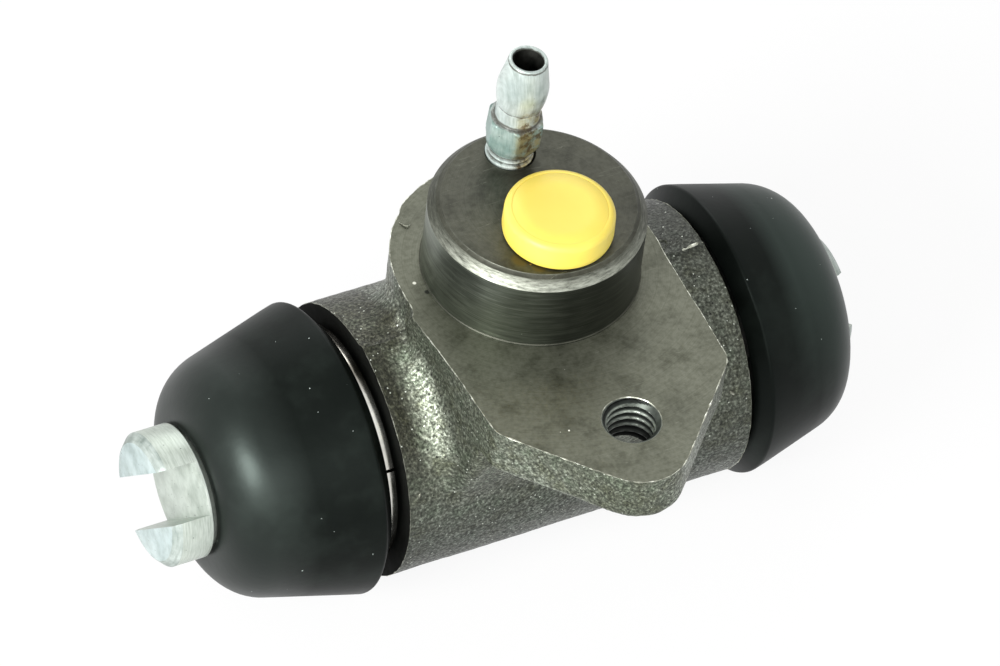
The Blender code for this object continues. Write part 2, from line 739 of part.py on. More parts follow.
def clamp_ring(name, side, finish):
    """The split steel ring that holds the boot's collar on the barrel's land."""
    start = shoulder(side) + SEAT_GAP + BOOT_SEAT_LIP_THICKNESS + SEAT_GAP
    edge = RING_THICKNESS / 4
    profile = [
        (RING_INNER_RADIUS, start),
        (RING_OUTER_RADIUS - edge, start),
        (RING_OUTER_RADIUS, start + edge),
        (RING_OUTER_RADIUS, start + RING_WIDTH - edge),
        (RING_OUTER_RADIUS - edge, start + RING_WIDTH),
        (RING_INNER_RADIUS, start + RING_WIDTH),
    ]
    ring = along_bore(turned(name, profile, BOOT_FACETS, finish, hollow=True), side)
    bm = bmesh.new()
    bmesh.ops.create_cube(bm, size=1)
    bmesh.ops.scale(
        bm, vec=(4 * RING_WIDTH, 2 * RING_OUTER_RADIUS, RING_SPLIT), verts=bm.verts
    )
    bmesh.ops.translate(bm, vec=(0, -RING_OUTER_RADIUS, 0), verts=bm.verts)
    cutter = add_object(name + "_split", bm)
    place(cutter, (side * start, 0, -BORE_AXIS_DROP), (-RING_SPLIT_ANGLE, 0, 0))
    return combine(ring, cutter, "DIFFERENCE")


def port_plug(finish):
    """The transport plug: a flat cap with a hollow stem pushed into the port."""
    head, stem = PLUG_HEAD_DIAMETER / 2, PORT_DIAMETER / 2 - SEAT_GAP
    hollow = stem - PLUG_WALL
    top = SEAT_GAP + PLUG_HEAD_HEIGHT
    corners = [(head, SEAT_GAP), (head, top), (hollow, top)]
    crown = rounded_path(corners, [PLUG_EDGE_RADIUS], 4)
    profile = [
        (hollow, top - PLUG_WALL),
        (hollow, -PLUG_STEM_LENGTH),
        (stem - PLUG_WALL / 3, -PLUG_STEM_LENGTH),
        (stem, -PLUG_STEM_LENGTH + PLUG_WALL),
        (stem, SEAT_GAP),
    ] + crown
    body = turned("port_plug", profile, 2 * SMALL_FACETS, finish)
    return place(body, (0, -PORT_REACH, BOSS_HEIGHT))


def screw_ring(radius, height, facets, across_flats=0.0):
    """A round ring, or where a width across flats is given, one that follows that hexagon."""
    points = []
    for i in range(facets):
        angle = 2 * math.pi * i / facets
        reach = radius
        if across_flats:
            to_flat = (angle + math.pi / 6) % (math.pi / 3) - math.pi / 6
            reach = min(radius, across_flats / 2 / math.cos(to_flat))
        points.append((reach * math.cos(angle), reach * math.sin(angle), height))
    return points


def bleed_screw(finish):
    """The bleed screw: cone, thread shank, hexagon, neck and hose nipple, with its passage."""
    flats = BLEED_HEX_ACROSS_FLATS
    corner = flats / math.sqrt(3)
    chamfered = flats / 2
    shank = BLEED_THREAD_DIAMETER / 2
    cone_top = -BLEED_HOLE_DEPTH + SEAT_GAP
    top = BLEED_HEX_BOTTOM + BLEED_HEX_HEIGHT
    bevel = BLEED_HEX_HEIGHT / 6
    tip = top + BLEED_NIPPLE_HEIGHT
    bore = BLEED_NIPPLE_BORE / 2
    passage = BLEED_PASSAGE_DIAMETER / 2
    stations = [
        (BLEED_TIP_DIAMETER / 2, cone_top - BLEED_CONE_LENGTH, 0),
        (shank, cone_top, 0),
        (shank, BLEED_HEX_BOTTOM, 0),
        (chamfered, BLEED_HEX_BOTTOM, flats),
        (corner, BLEED_HEX_BOTTOM + bevel, flats),
        (corner, top - bevel, flats),
        (chamfered, top, flats),
        (BLEED_NECK_DIAMETER / 2, top, 0),
        (BLEED_NECK_DIAMETER / 2, top + BLEED_NECK_HEIGHT, 0),
        (BLEED_BULGE_DIAMETER / 2, top + BLEED_BULGE_HEIGHT, 0),
        (BLEED_BULGE_DIAMETER / 2, top + BLEED_BULGE_HEIGHT + bevel, 0),
        (BLEED_NIPPLE_DIAMETER / 2, tip - bevel / 2, 0),
        (BLEED_NIPPLE_DIAMETER / 2 - bevel / 3, tip, 0),
        (bore + bevel / 3, tip, 0),
        (bore, tip - bevel, 0),
        (bore, tip - BLEED_NIPPLE_BORE_DEPTH, 0),
        (passage, tip - BLEED_NIPPLE_BORE_DEPTH - bore, 0),
        (passage, cone_top + BLEED_CROSS_DIAMETER, 0),
    ]
    rings = [screw_ring(r, z, SMALL_FACETS, hexed) for r, z, hexed in stations]
    body = place(loft("bleed_screw", rings, finish), *bleed_frame())
    reach = 2 * BLEED_THREAD_DIAMETER
    drill = turned("bleed_cross_drill", [
        (BLEED_CROSS_DIAMETER / 2, -reach), (BLEED_CROSS_DIAMETER / 2, reach),
    ], SMALL_FACETS // 2)
    drill.parent = body
    place(drill, (0, 0, cone_top + BLEED_CROSS_DIAMETER), (math.pi / 2, 0, 0))
    return combine(body, drill, "DIFFERENCE")


def build():
    iron = material("raw_cast_iron", (0.13, 0.125, 0.11), 0.6, 0.7)
    zinc = material("zinc_plated_steel", (0.62, 0.68, 0.64), 0.35, 0.9)
    steel = material("bright_spring_steel", (0.55, 0.56, 0.55), 0.25, 1.0)
    rubber = material("moulded_rubber", (0.02, 0.023, 0.023), 0.55, 0.0)
    plastic = material("yellow_plastic", (0.93, 0.73, 0.14), 0.45, 0.0)
    housing(iron)
    left = ("left", LEFT_PISTON_REACH, -1)
    right = ("right", RIGHT_PISTON_REACH, 1)
    piston("left_piston", LEFT_PISTON_REACH, LEFT_SLOT_ANGLE, -1, zinc)
    piston("right_piston", RIGHT_PISTON_REACH, RIGHT_SLOT_ANGLE, 1, zinc)
    boot("left_boot", LEFT_PISTON_REACH, LEFT_BOOT_NOSE_REACH, LEFT_BOOT_SHOULDER_ROUND,
         0, -1, rubber)
    boot("right_boot", RIGHT_PISTON_REACH, RIGHT_BOOT_NOSE_REACH, RIGHT_BOOT_SHOULDER_ROUND,
         RIGHT_BOOT_FOLD_DIAMETER, 1, rubber)
    for name, reach, side in (left, right):
        cup_seal(name + "_cup_seal", reach, side, rubber)
        expander(name + "_cup_expander", reach, side, zinc)
        clamp_ring(name + "_boot_ring", side, steel)
    return_spring(steel)
    bleed_screw(zinc)
    port_plug(plastic)


clear_scene()
build()
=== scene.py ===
import math

import bmesh
import bpy
from bpy.props import FloatProperty, FloatVectorProperty, IntProperty, PointerProperty, StringProperty
from mathutils import Matrix, Vector, noise


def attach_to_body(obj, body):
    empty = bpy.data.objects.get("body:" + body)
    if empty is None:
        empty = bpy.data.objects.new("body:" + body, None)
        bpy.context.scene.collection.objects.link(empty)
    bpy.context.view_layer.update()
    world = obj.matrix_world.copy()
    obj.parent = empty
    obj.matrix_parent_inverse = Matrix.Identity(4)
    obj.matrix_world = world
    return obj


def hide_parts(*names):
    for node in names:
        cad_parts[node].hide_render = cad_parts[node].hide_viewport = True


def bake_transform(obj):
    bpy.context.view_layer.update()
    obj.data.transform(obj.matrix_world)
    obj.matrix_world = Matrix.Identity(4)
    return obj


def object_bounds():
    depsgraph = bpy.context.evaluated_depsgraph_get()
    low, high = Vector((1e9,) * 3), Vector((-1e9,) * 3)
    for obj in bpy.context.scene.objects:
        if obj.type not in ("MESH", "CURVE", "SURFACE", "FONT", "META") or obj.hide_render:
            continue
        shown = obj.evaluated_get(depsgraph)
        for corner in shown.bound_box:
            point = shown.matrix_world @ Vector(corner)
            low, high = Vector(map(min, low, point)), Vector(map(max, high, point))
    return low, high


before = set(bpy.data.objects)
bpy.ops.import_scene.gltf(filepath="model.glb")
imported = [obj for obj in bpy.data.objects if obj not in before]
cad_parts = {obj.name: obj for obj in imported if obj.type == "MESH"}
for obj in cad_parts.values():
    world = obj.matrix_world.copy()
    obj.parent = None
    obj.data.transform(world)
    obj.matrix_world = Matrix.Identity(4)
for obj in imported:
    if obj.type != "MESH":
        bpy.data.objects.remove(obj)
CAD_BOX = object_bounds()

# Visual model of a drum brake wheel cylinder, dressed on its CAD frame. Shapes are worked out in
# millimetres and made in metres. The origin is on the machined flange face at the boss axis, +X runs
# along the bore to the right piston, +Z along the boss, and -Y points to the lobe with its thread.

bl_info = {
    "name": "Wheel Cylinder Dresser",
    "version": (1, 0, 0),
    "blender": (4, 5, 0),
    "location": "3D View > Sidebar > Wheel Cylinder",
    "description": "Builds the detailed castings, rubber and fittings of a brake wheel cylinder",
    "category": "Object",
}

MM = 0.001
BORE_Z = -25.2
BORE_RADIUS = 9.575
BARREL_RADIUS = 19.35
LAND_RADIUS = 13.6
BARREL_END = 34.05
CAST_ENDS = (-25.35, 26.75)
BOSS_TOP = 12.4
FLANGE_BOTTOM = -7.6
HOLE_Y = -30.4
PORT_Y = -5.6
BLEED_AT = (0.3, 9.6, BOSS_TOP)
BLEED_TILT = math.radians(3.6)
HEX_TURN = math.radians(21.3)
PISTON_RADIUS = 9.475
PISTON_REACH = {-1: 55.6, 1: 48.2}
PISTON_LENGTH = 32.0
SLOT_WIDTH = 7.5
SLOT_DEPTH = 5.3
SLOT_ANGLE = {-1: math.radians(49), 1: math.radians(38.5)}
SIDE_NAME = {-1: "left", 1: "right"}
GROOVE_DEPTH = 1.1
CLEARANCE = 0.3
STEM_RADIUS = 18.3
PORT_RADIUS = 4.6
BLEED_RADIUS = 3.3
SUBJECT = (0, -0.005, -0.015)


# ---- Small helpers: colours, nodes, meshes


def to_linear(code):
    """Turns an sRGB hex colour into the linear RGBA that the shaders take."""
    parts = [int(code[i:i + 2], 16) / 255 for i in (1, 3, 5)]
    return [p / 12.92 if p <= 0.04045 else ((p + 0.055) / 1.055) ** 2.4 for p in parts] + [1.0]


def add_node(tree, kind, inputs=None, **settings):
    """Adds a node, sets it up, and gives each named or numbered input a value or a link."""
    node = tree.nodes.new(kind)
    for key, value in settings.items():
        setattr(node, key, value)
    for key, value in (inputs or {}).items():
        if isinstance(value, bpy.types.NodeSocket):
            tree.links.new(value, node.inputs[key])
        else:
            node.inputs[key].default_value = value
    return node


def start_material(name, **sockets):
    """A new material with its Principled shader; its plain values go straight on the sockets."""
    made = bpy.data.materials.new(name)
    made.use_nodes = True
    tree = made.node_tree
    shader = tree.nodes["Principled BSDF"]
    for key, value in sockets.items():
        shader.inputs[key.replace("_", " ")].default_value = value
    place = add_node(tree, "ShaderNodeTexCoord").outputs["Object"]
    return made, tree, shader, place


def grain(tree, place, size_mm, detail=2.0, rough=0.5):
    """Noise whose blotches are about the given size."""
    inputs = {"Vector": place, "Scale": 0.5 / (size_mm * MM), "Detail": detail, "Roughness": rough}
    return add_node(tree, "ShaderNodeTexNoise", inputs).outputs["Fac"]


def ramp(tree, value, stops):
    """A colour ramp over hex colours; returns its colour."""
    node = add_node(tree, "ShaderNodeValToRGB", {"Fac": value})
    band = node.color_ramp.elements
    while len(band) < len(stops):
        band.new(0.5)
    for element, (at, code) in zip(band, stops):
        element.position = at
        element.color = to_linear(code)
    return node.outputs["Color"]


def spread(tree, value, low, high, to_low=0.0, to_high=1.0):
    """Maps one range of a value to another, clamped."""
    inputs = {"Value": value, "From Min": low, "From Max": high, "To Min": to_low, "To Max": to_high}
    return add_node(tree, "ShaderNodeMapRange", inputs).outputs["Result"]


def maths(tree, operation, *values):
    inputs = dict(enumerate(values))
    return add_node(tree, "ShaderNodeMath", inputs, operation=operation).outputs[0]


def mix(tree, factor, under, over, blend="MIX"):
    inputs = {0: factor, 6: under, 7: over}
    return add_node(tree, "ShaderNodeMix", inputs, data_type="RGBA", blend_type=blend).outputs[2]


def bump(tree, height, strength, distance_mm):
    inputs = {"Height": height, "Strength": strength, "Distance": distance_mm * MM}
    return add_node(tree, "ShaderNodeBump", inputs).outputs["Normal"]


def times(tree, *values):
    """The product of two or more values."""
    product = values[0]
    for value in values[1:]:
        product = maths(tree, "MULTIPLY", product, value)
    return product


def paint(tree, colour, mask, code):
    """Lays a plain colour over another where the mask is 1."""
    return mix(tree, mask, colour, to_linear(code))


def tinted(tree, colour, value, stops):
    """Multiplies a colour by a ramp over a value."""
    return mix(tree, 1.0, colour, ramp(tree, value, stops), "MULTIPLY")


def attach(shader, socket, source):
    """Links a source to one of the shader's sockets."""
    shader.id_data.links.new(source, shader.inputs[socket])


def tool_lines(tree, along, detail):
    """The lines that a lathe tool left, about 0.2 mm apart in the given direction."""
    inputs = {"W": along, "Scale": 5200.0, "Detail": detail}
    return add_node(tree, "ShaderNodeTexNoise", inputs, noise_dimensions="1D").outputs["Fac"]


def specks(tree, place, cell_mm, radius_mm, share):
    """Round dust specks: one to a cell, in only a share of the cells; 1 on a speck."""
    cells = add_node(tree, "ShaderNodeTexVoronoi", {"Vector": place, "Scale": 1 / (cell_mm * MM)})
    near = maths(tree, "LESS_THAN", cells.outputs["Distance"], radius_mm / cell_mm)
    pick = add_node(tree, "ShaderNodeSeparateColor", {"Color": cells.outputs["Color"]})
    few = maths(tree, "LESS_THAN", pick.outputs["Red"], share)
    return times(tree, near, few)


def parts_of(tree, place):
    return add_node(tree, "ShaderNodeSeparateXYZ", {"Vector": place}).outputs


def link_object(name, mesh, finishes):
    for finish in finishes:
        mesh.materials.append(finish)
    obj = bpy.data.objects.new(name, mesh)
    bpy.context.scene.collection.objects.link(obj)
    return obj


def add_piece(name, bm, finishes, sharp=32, recalc=True):
    """Makes an object of a bmesh in millimetres, smooth over all but its sharp edges."""
    bmesh.ops.remove_doubles(bm, verts=bm.verts, dist=1e-5)
    if recalc:
        bmesh.ops.recalc_face_normals(bm, faces=bm.faces)
    bmesh.ops.scale(bm, vec=(MM, MM, MM), verts=bm.verts)
    mesh = bpy.data.meshes.new(name)
    bm.to_mesh(mesh)
    bm.free()
    mesh.shade_smooth()
    mesh.set_sharp_from_angle(angle=math.radians(sharp))
    return link_object(name, mesh, finishes)


def settle(obj, sharp=32):
    """Turns the object's evaluated shape into its plain mesh and drops its modifiers."""
    bpy.context.view_layer.update()
    evaluated = obj.evaluated_get(bpy.context.evaluated_depsgraph_get())
    mesh = bpy.data.meshes.new_from_object(evaluated)
    old = obj.data
    obj.modifiers.clear()
    obj.data = mesh
    bpy.data.meshes.remove(old)
    mesh.shade_smooth()
    mesh.set_sharp_from_angle(angle=math.radians(sharp))
    return obj


def drop(obj):
    mesh = obj.data
    bpy.data.objects.remove(obj, do_unlink=True)
    bpy.data.meshes.remove(mesh)


def cut(obj, tools, sharp=32):
    """Cuts closed tools out of a piece, one after another."""
    for tool in tools:
        boolean = obj.modifiers.new("cut", "BOOLEAN")
        boolean.operation = "DIFFERENCE"
        boolean.object = tool
        boolean.solver = "MANIFOLD"
    settle(obj, sharp)
    for tool in tools:
        drop(tool)
    return obj


def skin_rings(bm, rings, slots=None, closed=False):
    """Skins rings of equally many points; ends are capped unless the last ring joins the first."""
    made = [[bm.verts.new(p) for p in ring] for ring in rings]
    pairs = list(zip(made, made[1:])) + ([(made[-1], made[0])] if closed else [])
    count = len(made[0])
    for k, (near, far) in enumerate(pairs):
        for i in range(count):
            j = (i + 1) % count
            face = bm.faces.new((near[i], near[j], far[j], far[i]))
            face.material_index = slots[k] if slots else 0
    if not closed:
        bm.faces.new(made[0]).material_index = slots[0] if slots else 0
        bm.faces.new(made[-1]).material_index = slots[-1] if slots else 0


def turn(bm, profile, facets, matrix=None, slots=None, closed=False):
    """Turns (radius, height) points about Z, then moves the shape by a matrix."""
    rings = []
    for radius, height in profile:
        ring = []
        for i in range(facets):
            angle = 2 * math.pi * i / facets
            point = Vector((radius * math.cos(angle), radius * math.sin(angle), height))
            ring.append(matrix @ point if matrix else point)
        rings.append(ring)
    skin_rings(bm, rings, slots, closed)


def on_bore(side, x=0.0):
    """Lays a turned shape on the bore axis, its +Z pointing out of that side."""
    return Matrix.Translation((x, 0, BORE_Z)) @ Matrix.Rotation(side * math.pi / 2, 4, "Y")


def at_bleed():
    return Matrix.Translation(BLEED_AT) @ Matrix.Rotation(BLEED_TILT, 4, "Y")


def turned_tool(name, profile, facets, matrix=None):
    bm = bmesh.new()
    turn(bm, profile, facets, matrix)
    return add_piece(name, bm, [])


def round_corners(corners, radii, steps=6):
    """A path through 2D corners, each inner one replaced by an arc of its radius."""
    path = [corners[0]]
    for before, corner, after, radius in zip(corners, corners[1:], corners[2:], radii):
        at = Vector(corner)
        inward = (Vector(before) - at).normalized()
        outward = (Vector(after) - at).normalized()
        half = inward.angle(outward) / 2
        if radius <= 0 or half > math.radians(89):
            path.append(corner)
            continue
        start = at + inward * (radius / math.tan(half))
        end = at + outward * (radius / math.tan(half))
        centre = at + (inward + outward).normalized() * (radius / math.sin(half))
        sweep = (start - centre).angle_signed(end - centre)
        path += [
            tuple(centre + Matrix.Rotation(-sweep * i / steps, 2) @ (start - centre))
            for i in range(steps + 1)
        ]
    return path + [corners[-1]]


def offset_path(corners, distance):
    """Moves an open 2D path sideways, to its right, keeping its walls parallel."""
    moved = []
    for i, corner in enumerate(corners):
        one = Vector(corners[max(i, 1)]) - Vector(corners[max(i, 1) - 1])
        last = min(i, len(corners) - 2)
        two = Vector(corners[last + 1]) - Vector(corners[last])
        one = Vector((one.y, -one.x)).normalized()
        two = Vector((two.y, -two.x)).normalized()
        mitre = (one + two).normalized()
        moved.append(tuple(Vector(corner) + mitre * (distance / mitre.dot(one))))
    return moved


# ---- Finishes


def raw_cast_iron(finish):
    """Raw sand-cast grey iron: a coarse, dull skin with dark pits and glinting grains."""
    made, tree, shader, place = start_material("sand-cast grey iron, raw", Metallic=0.55)
    fine = grain(tree, place, finish.cast_grain / MM, 3, 0.6)
    tone = grain(tree, place, 1.3, 3, 0.6)
    patch = grain(tree, place, 9.0, 2, 0.5)
    base = ramp(tree, fine, [(0.34, "#33362E"), (0.46, "#52564C"), (0.55, "#666A5F"), (0.68, "#989E91")])
    warm = ramp(tree, tone, [(0.35, "#DCDCD0"), (0.5, "#FFFFFF"), (0.68, "#ECF4EC")])
    shade = ramp(tree, patch, [(0.3, "#CBCCC4"), (0.6, "#FFFFFF")])
    colour = mix(tree, 1.0, mix(tree, 1.0, base, warm, "MULTIPLY"), shade, "MULTIPLY")
    # Painted shade darkens the casting behind the boss, on the right
    where = parts_of(tree, place)
    painted_shade_behind_boss = times(tree, spread(tree, where["X"], 0.013, 0.018), spread(tree, where["Y"], -0.008, 0.001))
    colour = paint(tree, colour, times(tree, painted_shade_behind_boss, 0.75), "#1B1D19")
    # Painted shade darkens the barrel's top left behind the parting line, its left end and its low side,
    # and painted highlights lighten the left blend and the lobe's side
    top = spread(tree, where["Z"], -0.020, -0.012)
    left = times(tree, spread(tree, where["X"], -0.0186, -0.0199), top)
    end = spread(tree, where["X"], -0.0210, -0.0235)
    painted_shade_zone = maths(tree, "MAXIMUM", spread(tree, where["Y"], -0.004, -0.001), end)
    wear_and_painted_highlight = maths(tree, "SUBTRACT", 1.0, painted_shade_zone)
    low = spread(tree, where["Z"], -0.017, -0.028)
    lobe = times(tree, spread(tree, where["Y"], -0.018, -0.024), top)
    for mask, tint in ((times(tree, painted_shade_zone, left), (0.43, 0.41, 0.36, 1)),
                       (times(tree, wear_and_painted_highlight, left), (1.95, 1.97, 1.95, 1)),
                       (low, (0.60, 0.62, 0.63, 1)), (lobe, (1.42, 1.44, 1.42, 1))):
        colour = mix(tree, mask, colour, tint, "MULTIPLY")
    pits = add_node(tree, "ShaderNodeTexVoronoi", {"Vector": place, "Scale": 1 / (0.5 * MM)})
    hollow = spread(tree, pits.outputs["Distance"], 0.0, 0.5)
    colour = tinted(tree, colour, hollow, [(0.1, "#A2A29E"), (0.5, "#FFFFFF")])
    pock = specks(tree, place, 1.0, 0.14, 0.30)
    colour = paint(tree, colour, pock, "#1E1F1B")
    glint = specks(tree, place, 0.7, 0.10, 0.25)
    colour = paint(tree, colour, glint, "#D2D8CC")
    attach(shader, "Base Color", colour)
    attach(shader, "Roughness", spread(tree, fine, 0.35, 0.65, 0.55, 0.30))
    height = maths(tree, "SUBTRACT", maths(tree, "ADD", fine, times(tree, hollow, 0.4)), pock)
    attach(shader, "Normal", bump(tree, height, 0.85, 0.14))
    return made


def scratches(tree, place):
    """Thin straight scratches that run a few ways, broken into short lengths; 1 on a scratch."""
    found = None
    for angle, width in ((0.6, 0.016), (-0.45, 0.014)):
        spun = add_node(tree, "ShaderNodeMapping",
                        {"Vector": place, "Rotation": (0, 0, angle), "Scale": (1, 30, 1)})
        cells = add_node(tree, "ShaderNodeTexVoronoi",
                         {"Vector": spun.outputs[0], "Scale": 1 / (9 * MM)},
                         feature="DISTANCE_TO_EDGE").outputs["Distance"]
        line = maths(tree, "LESS_THAN", cells, width)
        part = maths(tree, "GREATER_THAN", grain(tree, spun.outputs[0], 9.0, 1), 0.66)
        mark = times(tree, line, part)
        found = maths(tree, "MAXIMUM", found, mark) if found else mark
    return found


def faced_iron(name, base_codes, arc_height, marks):
    """Iron faced on a lathe: a satin green-grey plane with faint arcs, scratches and a few marks."""
    made, tree, shader, place = start_material(name, Metallic=0.6)
    flat = add_node(tree, "ShaderNodeVectorMath", {0: place, 1: (1, 1, 0)}, operation="MULTIPLY")
    reach = add_node(tree, "ShaderNodeVectorMath", {0: flat.outputs[0]},
                     operation="LENGTH").outputs["Value"]
    arcs = tool_lines(tree, reach, 2.0)
    wear = grain(tree, place, 5.0, 4, 0.6)
    dust = grain(tree, place, 0.35, 2, 0.6)
    colour = ramp(tree, wear, [(0.3, base_codes[0]), (0.5, base_codes[1]), (0.72, base_codes[2])])
    lines = ramp(tree, arcs, [(0.3, "#EFEFEC"), (0.6, "#FFFFFF")])
    colour = mix(tree, 1.0, colour, lines, "MULTIPLY")
    colour = tinted(tree, colour, dust, [(0.3, "#DDDDD8"), (0.6, "#FFFFFF")])
    smudge = grain(tree, place, 2.4, 5, 0.7)
    colour = tinted(tree, colour, smudge, [(0.3, "#BEBFB6"), (0.5, "#FFFFFF")])
    colour = paint(tree, colour, times(tree, scratches(tree, place), 0.4), "#7F8174")
    colour = paint(tree, colour, specks(tree, place, 1.9, 0.09, 0.16), "#30302A")
    colour = paint(tree, colour, specks(tree, place, 2.2, 0.07, 0.16), "#A9AB9F")
    for x, y, radius, code in marks:
        away = add_node(tree, "ShaderNodeVectorMath", {0: place, 1: (x * MM, y * MM, arc_height * MM)},
                        operation="DISTANCE").outputs["Value"]
        colour = paint(tree, colour, spread(tree, away, radius * MM, radius * 0.6 * MM), code)
    attach(shader, "Base Color", colour)
    attach(shader, "Roughness", spread(tree, wear, 0.3, 0.7, 0.40, 0.54))
    height = maths(tree, "ADD", times(tree, arcs, 0.35), dust)
    attach(shader, "Normal", bump(tree, height, 0.25, 0.03))
    return made


def turned_iron():
    """Iron turned round the boss: greenish dark grey, with fine level tool lines and streaks, and a painted
    highlight that lightens its left side.
    """
    made, tree, shader, place = start_material("turned grey iron", Metallic=0.95)
    squash = add_node(tree, "ShaderNodeMapping", {"Vector": place, "Scale": (1, 1, 10)}).outputs[0]
    lines = grain(tree, squash, 2.6, 4, 0.6)
    where = parts_of(tree, place)
    feed = tool_lines(tree, where["Z"], 1.0)
    colour = ramp(tree, lines, [(0.3, "#434640"), (0.5, "#4D514A"), (0.68, "#5B5F57")])
    colour = tinted(tree, colour, feed, [(0.3, "#E6E6E2"), (0.6, "#FFFFFF")])
    # Painted highlight: the left side of the boss is lightened
    painted_highlight_left = spread(tree, where["X"], -0.002, -0.011)
    colour = mix(tree, painted_highlight_left, colour, mix(tree, 1.0, colour, (2.3, 2.35, 2.3, 1), "MULTIPLY"))
    oil = spread(tree, grain(tree, place, 6.0, 3, 0.6), 0.52, 0.70)
    colour = paint(tree, colour, times(tree, oil, 0.3), "#2E312B")
    flecks = maths(tree, "MAXIMUM", specks(tree, place, 1.6, 0.06, 0.12),
                   specks(tree, place, 2.7, 0.1, 0.05))
    colour = paint(tree, colour, flecks, "#B9BDB2")
    attach(shader, "Base Color", colour)
    attach(shader, "Roughness", spread(tree, lines, 0.3, 0.7, 0.33, 0.39))
    height = maths(tree, "ADD", feed, times(tree, lines, 0.4))
    attach(shader, "Normal", bump(tree, height, 0.14, 0.02))
    return made


def worn_chamfer():
    """The boss's chamfer: brown-grey iron with bright rubbed patches and small chatter marks."""
    made, tree, shader, place = start_material("turned chamfer, rubbed bright", Metallic=0.8)
    squash = add_node(tree, "ShaderNodeMapping", {"Vector": place, "Scale": (1, 1, 7)}).outputs[0]
    chatter = grain(tree, squash, 0.9, 5, 0.75)
    along = parts_of(tree, place)
    front = spread(tree, maths(tree, "ADD", along["Y"], times(tree, along["X"], 0.45)),
                   -0.001, -0.013)
    low = spread(tree, along["Z"], (BOSS_TOP - 0.45) * MM, (BOSS_TOP - 1.5) * MM, 0.22, 1.0)
    wear_and_painted_highlight = times(tree, times(tree, spread(tree, chatter, 0.26, 0.64), front), low)
    colour = ramp(tree, chatter, [(0.3, "#34362E"), (0.55, "#4C4E44"), (0.7, "#66685D")])
    colour = paint(tree, colour, wear_and_painted_highlight, "#B2B6A9")
    attach(shader, "Base Color", colour)
    attach(shader, "Roughness", spread(tree, chatter, 0.35, 0.65, 0.56, 0.44))
    attach(shader, "Normal", bump(tree, chatter, 0.18, 0.05))
    return made


def bright_cut():
    """Freshly cut iron edges: bare metal that catches the light."""
    made, tree, shader, place = start_material("bright cut iron edge", Metallic=0.85)
    rough = grain(tree, place, 0.9, 3, 0.7)
    colour = ramp(tree, rough, [(0.35, "#6C6D61"), (0.5, "#A3A597"), (0.65, "#E4E6DA")])
    attach(shader, "Base Color", colour)
    attach(shader, "Roughness", spread(tree, rough, 0.3, 0.7, 0.45, 0.25))
    attach(shader, "Normal", bump(tree, rough, 0.4, 0.04))
    return made


def threaded_iron():
    """The tapped hole: greenish iron, with painted highlights on the crests and painted shade in the roots,
    darker deeper in the hole.
    """
    made, tree, shader, place = start_material("tapped grey iron", Metallic=0.8)
    rough = grain(tree, place, 0.5, 3, 0.6)
    attribute = add_node(tree, "ShaderNodeAttribute", attribute_name="crest").outputs["Fac"]
    # Painted highlight on the crests and painted shade in the roots
    colour = ramp(tree, attribute, [(0.0, "#0B0C0B"), (0.6, "#2E332F"), (0.95, "#A4ACA2")])
    colour = tinted(tree, colour, rough, [(0.3, "#BDBDBA"), (0.6, "#FFFFFF")])
    # Painted shade: the hole darkens towards its bottom
    deep = spread(tree, parts_of(tree, place)["Z"], -0.0022, -0.0056, 0.0, 0.93)
    colour = paint(tree, colour, deep, "#0B0C0B")
    attach(shader, "Base Color", colour)
    attach(shader, "Roughness", spread(tree, rough, 0.3, 0.7, 0.3, 0.45))
    attach(shader, "Normal", bump(tree, rough, 0.3, 0.04))
    return made


def bored_iron():
    """Drillings and the honed bore: dark, smooth iron."""
    made, tree, shader, place = start_material("bored grey iron", Metallic=0.8)
    rough = grain(tree, place, 0.8, 3, 0.6)
    attach(shader, "Base Color", ramp(tree, rough, [(0.3, "#2A2B28"), (0.7, "#4E4F4A")]))
    attach(shader, "Roughness", spread(tree, rough, 0.3, 0.7, 0.3, 0.45))
    return made


def shoulder_shade_iron():
    """The barrel's shoulders beside the boots: painted black as shade under the boot rims, and quite matt.
    """
    made, tree, shader, place = start_material("iron painted black as shade beside the boots",
                                               Specular_IOR_Level=0.1)
    shade_tone = grain(tree, place, 1.1, 3, 0.6)
    attach(shader, "Base Color", ramp(tree, shade_tone, [(0.3, "#070807"), (0.7, "#151714")]))
    attach(shader, "Roughness", spread(tree, shade_tone, 0.3, 0.7, 0.6, 0.8))
    return made


def moulded_rubber(name, finish):
    """Moulded EPDM rubber: black-green, satin, with a faint bloom and settled dust."""
    made, tree, shader, place = start_material(name)
    bloom = grain(tree, place, 7.0, 4, 0.62)
    fine = grain(tree, place, 0.5, 2, 0.5)
    colour = ramp(tree, bloom, [(0.3, "#050706"), (0.52, "#0B0E0C"), (0.7, "#1A1F1C")])
    # A painted sheen lightens the upper side of the right boot
    where = parts_of(tree, place)
    upper = times(tree, spread(tree, where["X"], 0.034, 0.037), spread(tree, where["Z"], -0.024, -0.006))
    colour = paint(tree, colour, times(tree, upper, 0.7), "#3C4541")
    dusty = specks(tree, place, 2.9, 0.11, finish.dust)
    flecks = specks(tree, place, 1.6, 0.06, finish.dust)
    both = maths(tree, "MAXIMUM", dusty, flecks)
    attach(shader, "Base Color", mix(tree, both, colour, to_linear("#B4BFBA")))
    attach(shader, "Roughness", spread(tree, bloom, 0.3, 0.7, 0.36, 0.46))
    # The shoulder is handled most, so it shines; the rest is matt
    out = maths(tree, "ABSOLUTE", where["X"])
    attach(shader, "Specular IOR Level", spread(tree, out, 0.038, 0.044, 0.10, 0.40))
    shader.inputs["Specular Tint"].default_value = to_linear("#EAFFF5")
    height = maths(tree, "ADD", times(tree, bloom, 3.0), fine)
    attach(shader, "Normal", bump(tree, height, 0.25, 0.05))
    return made


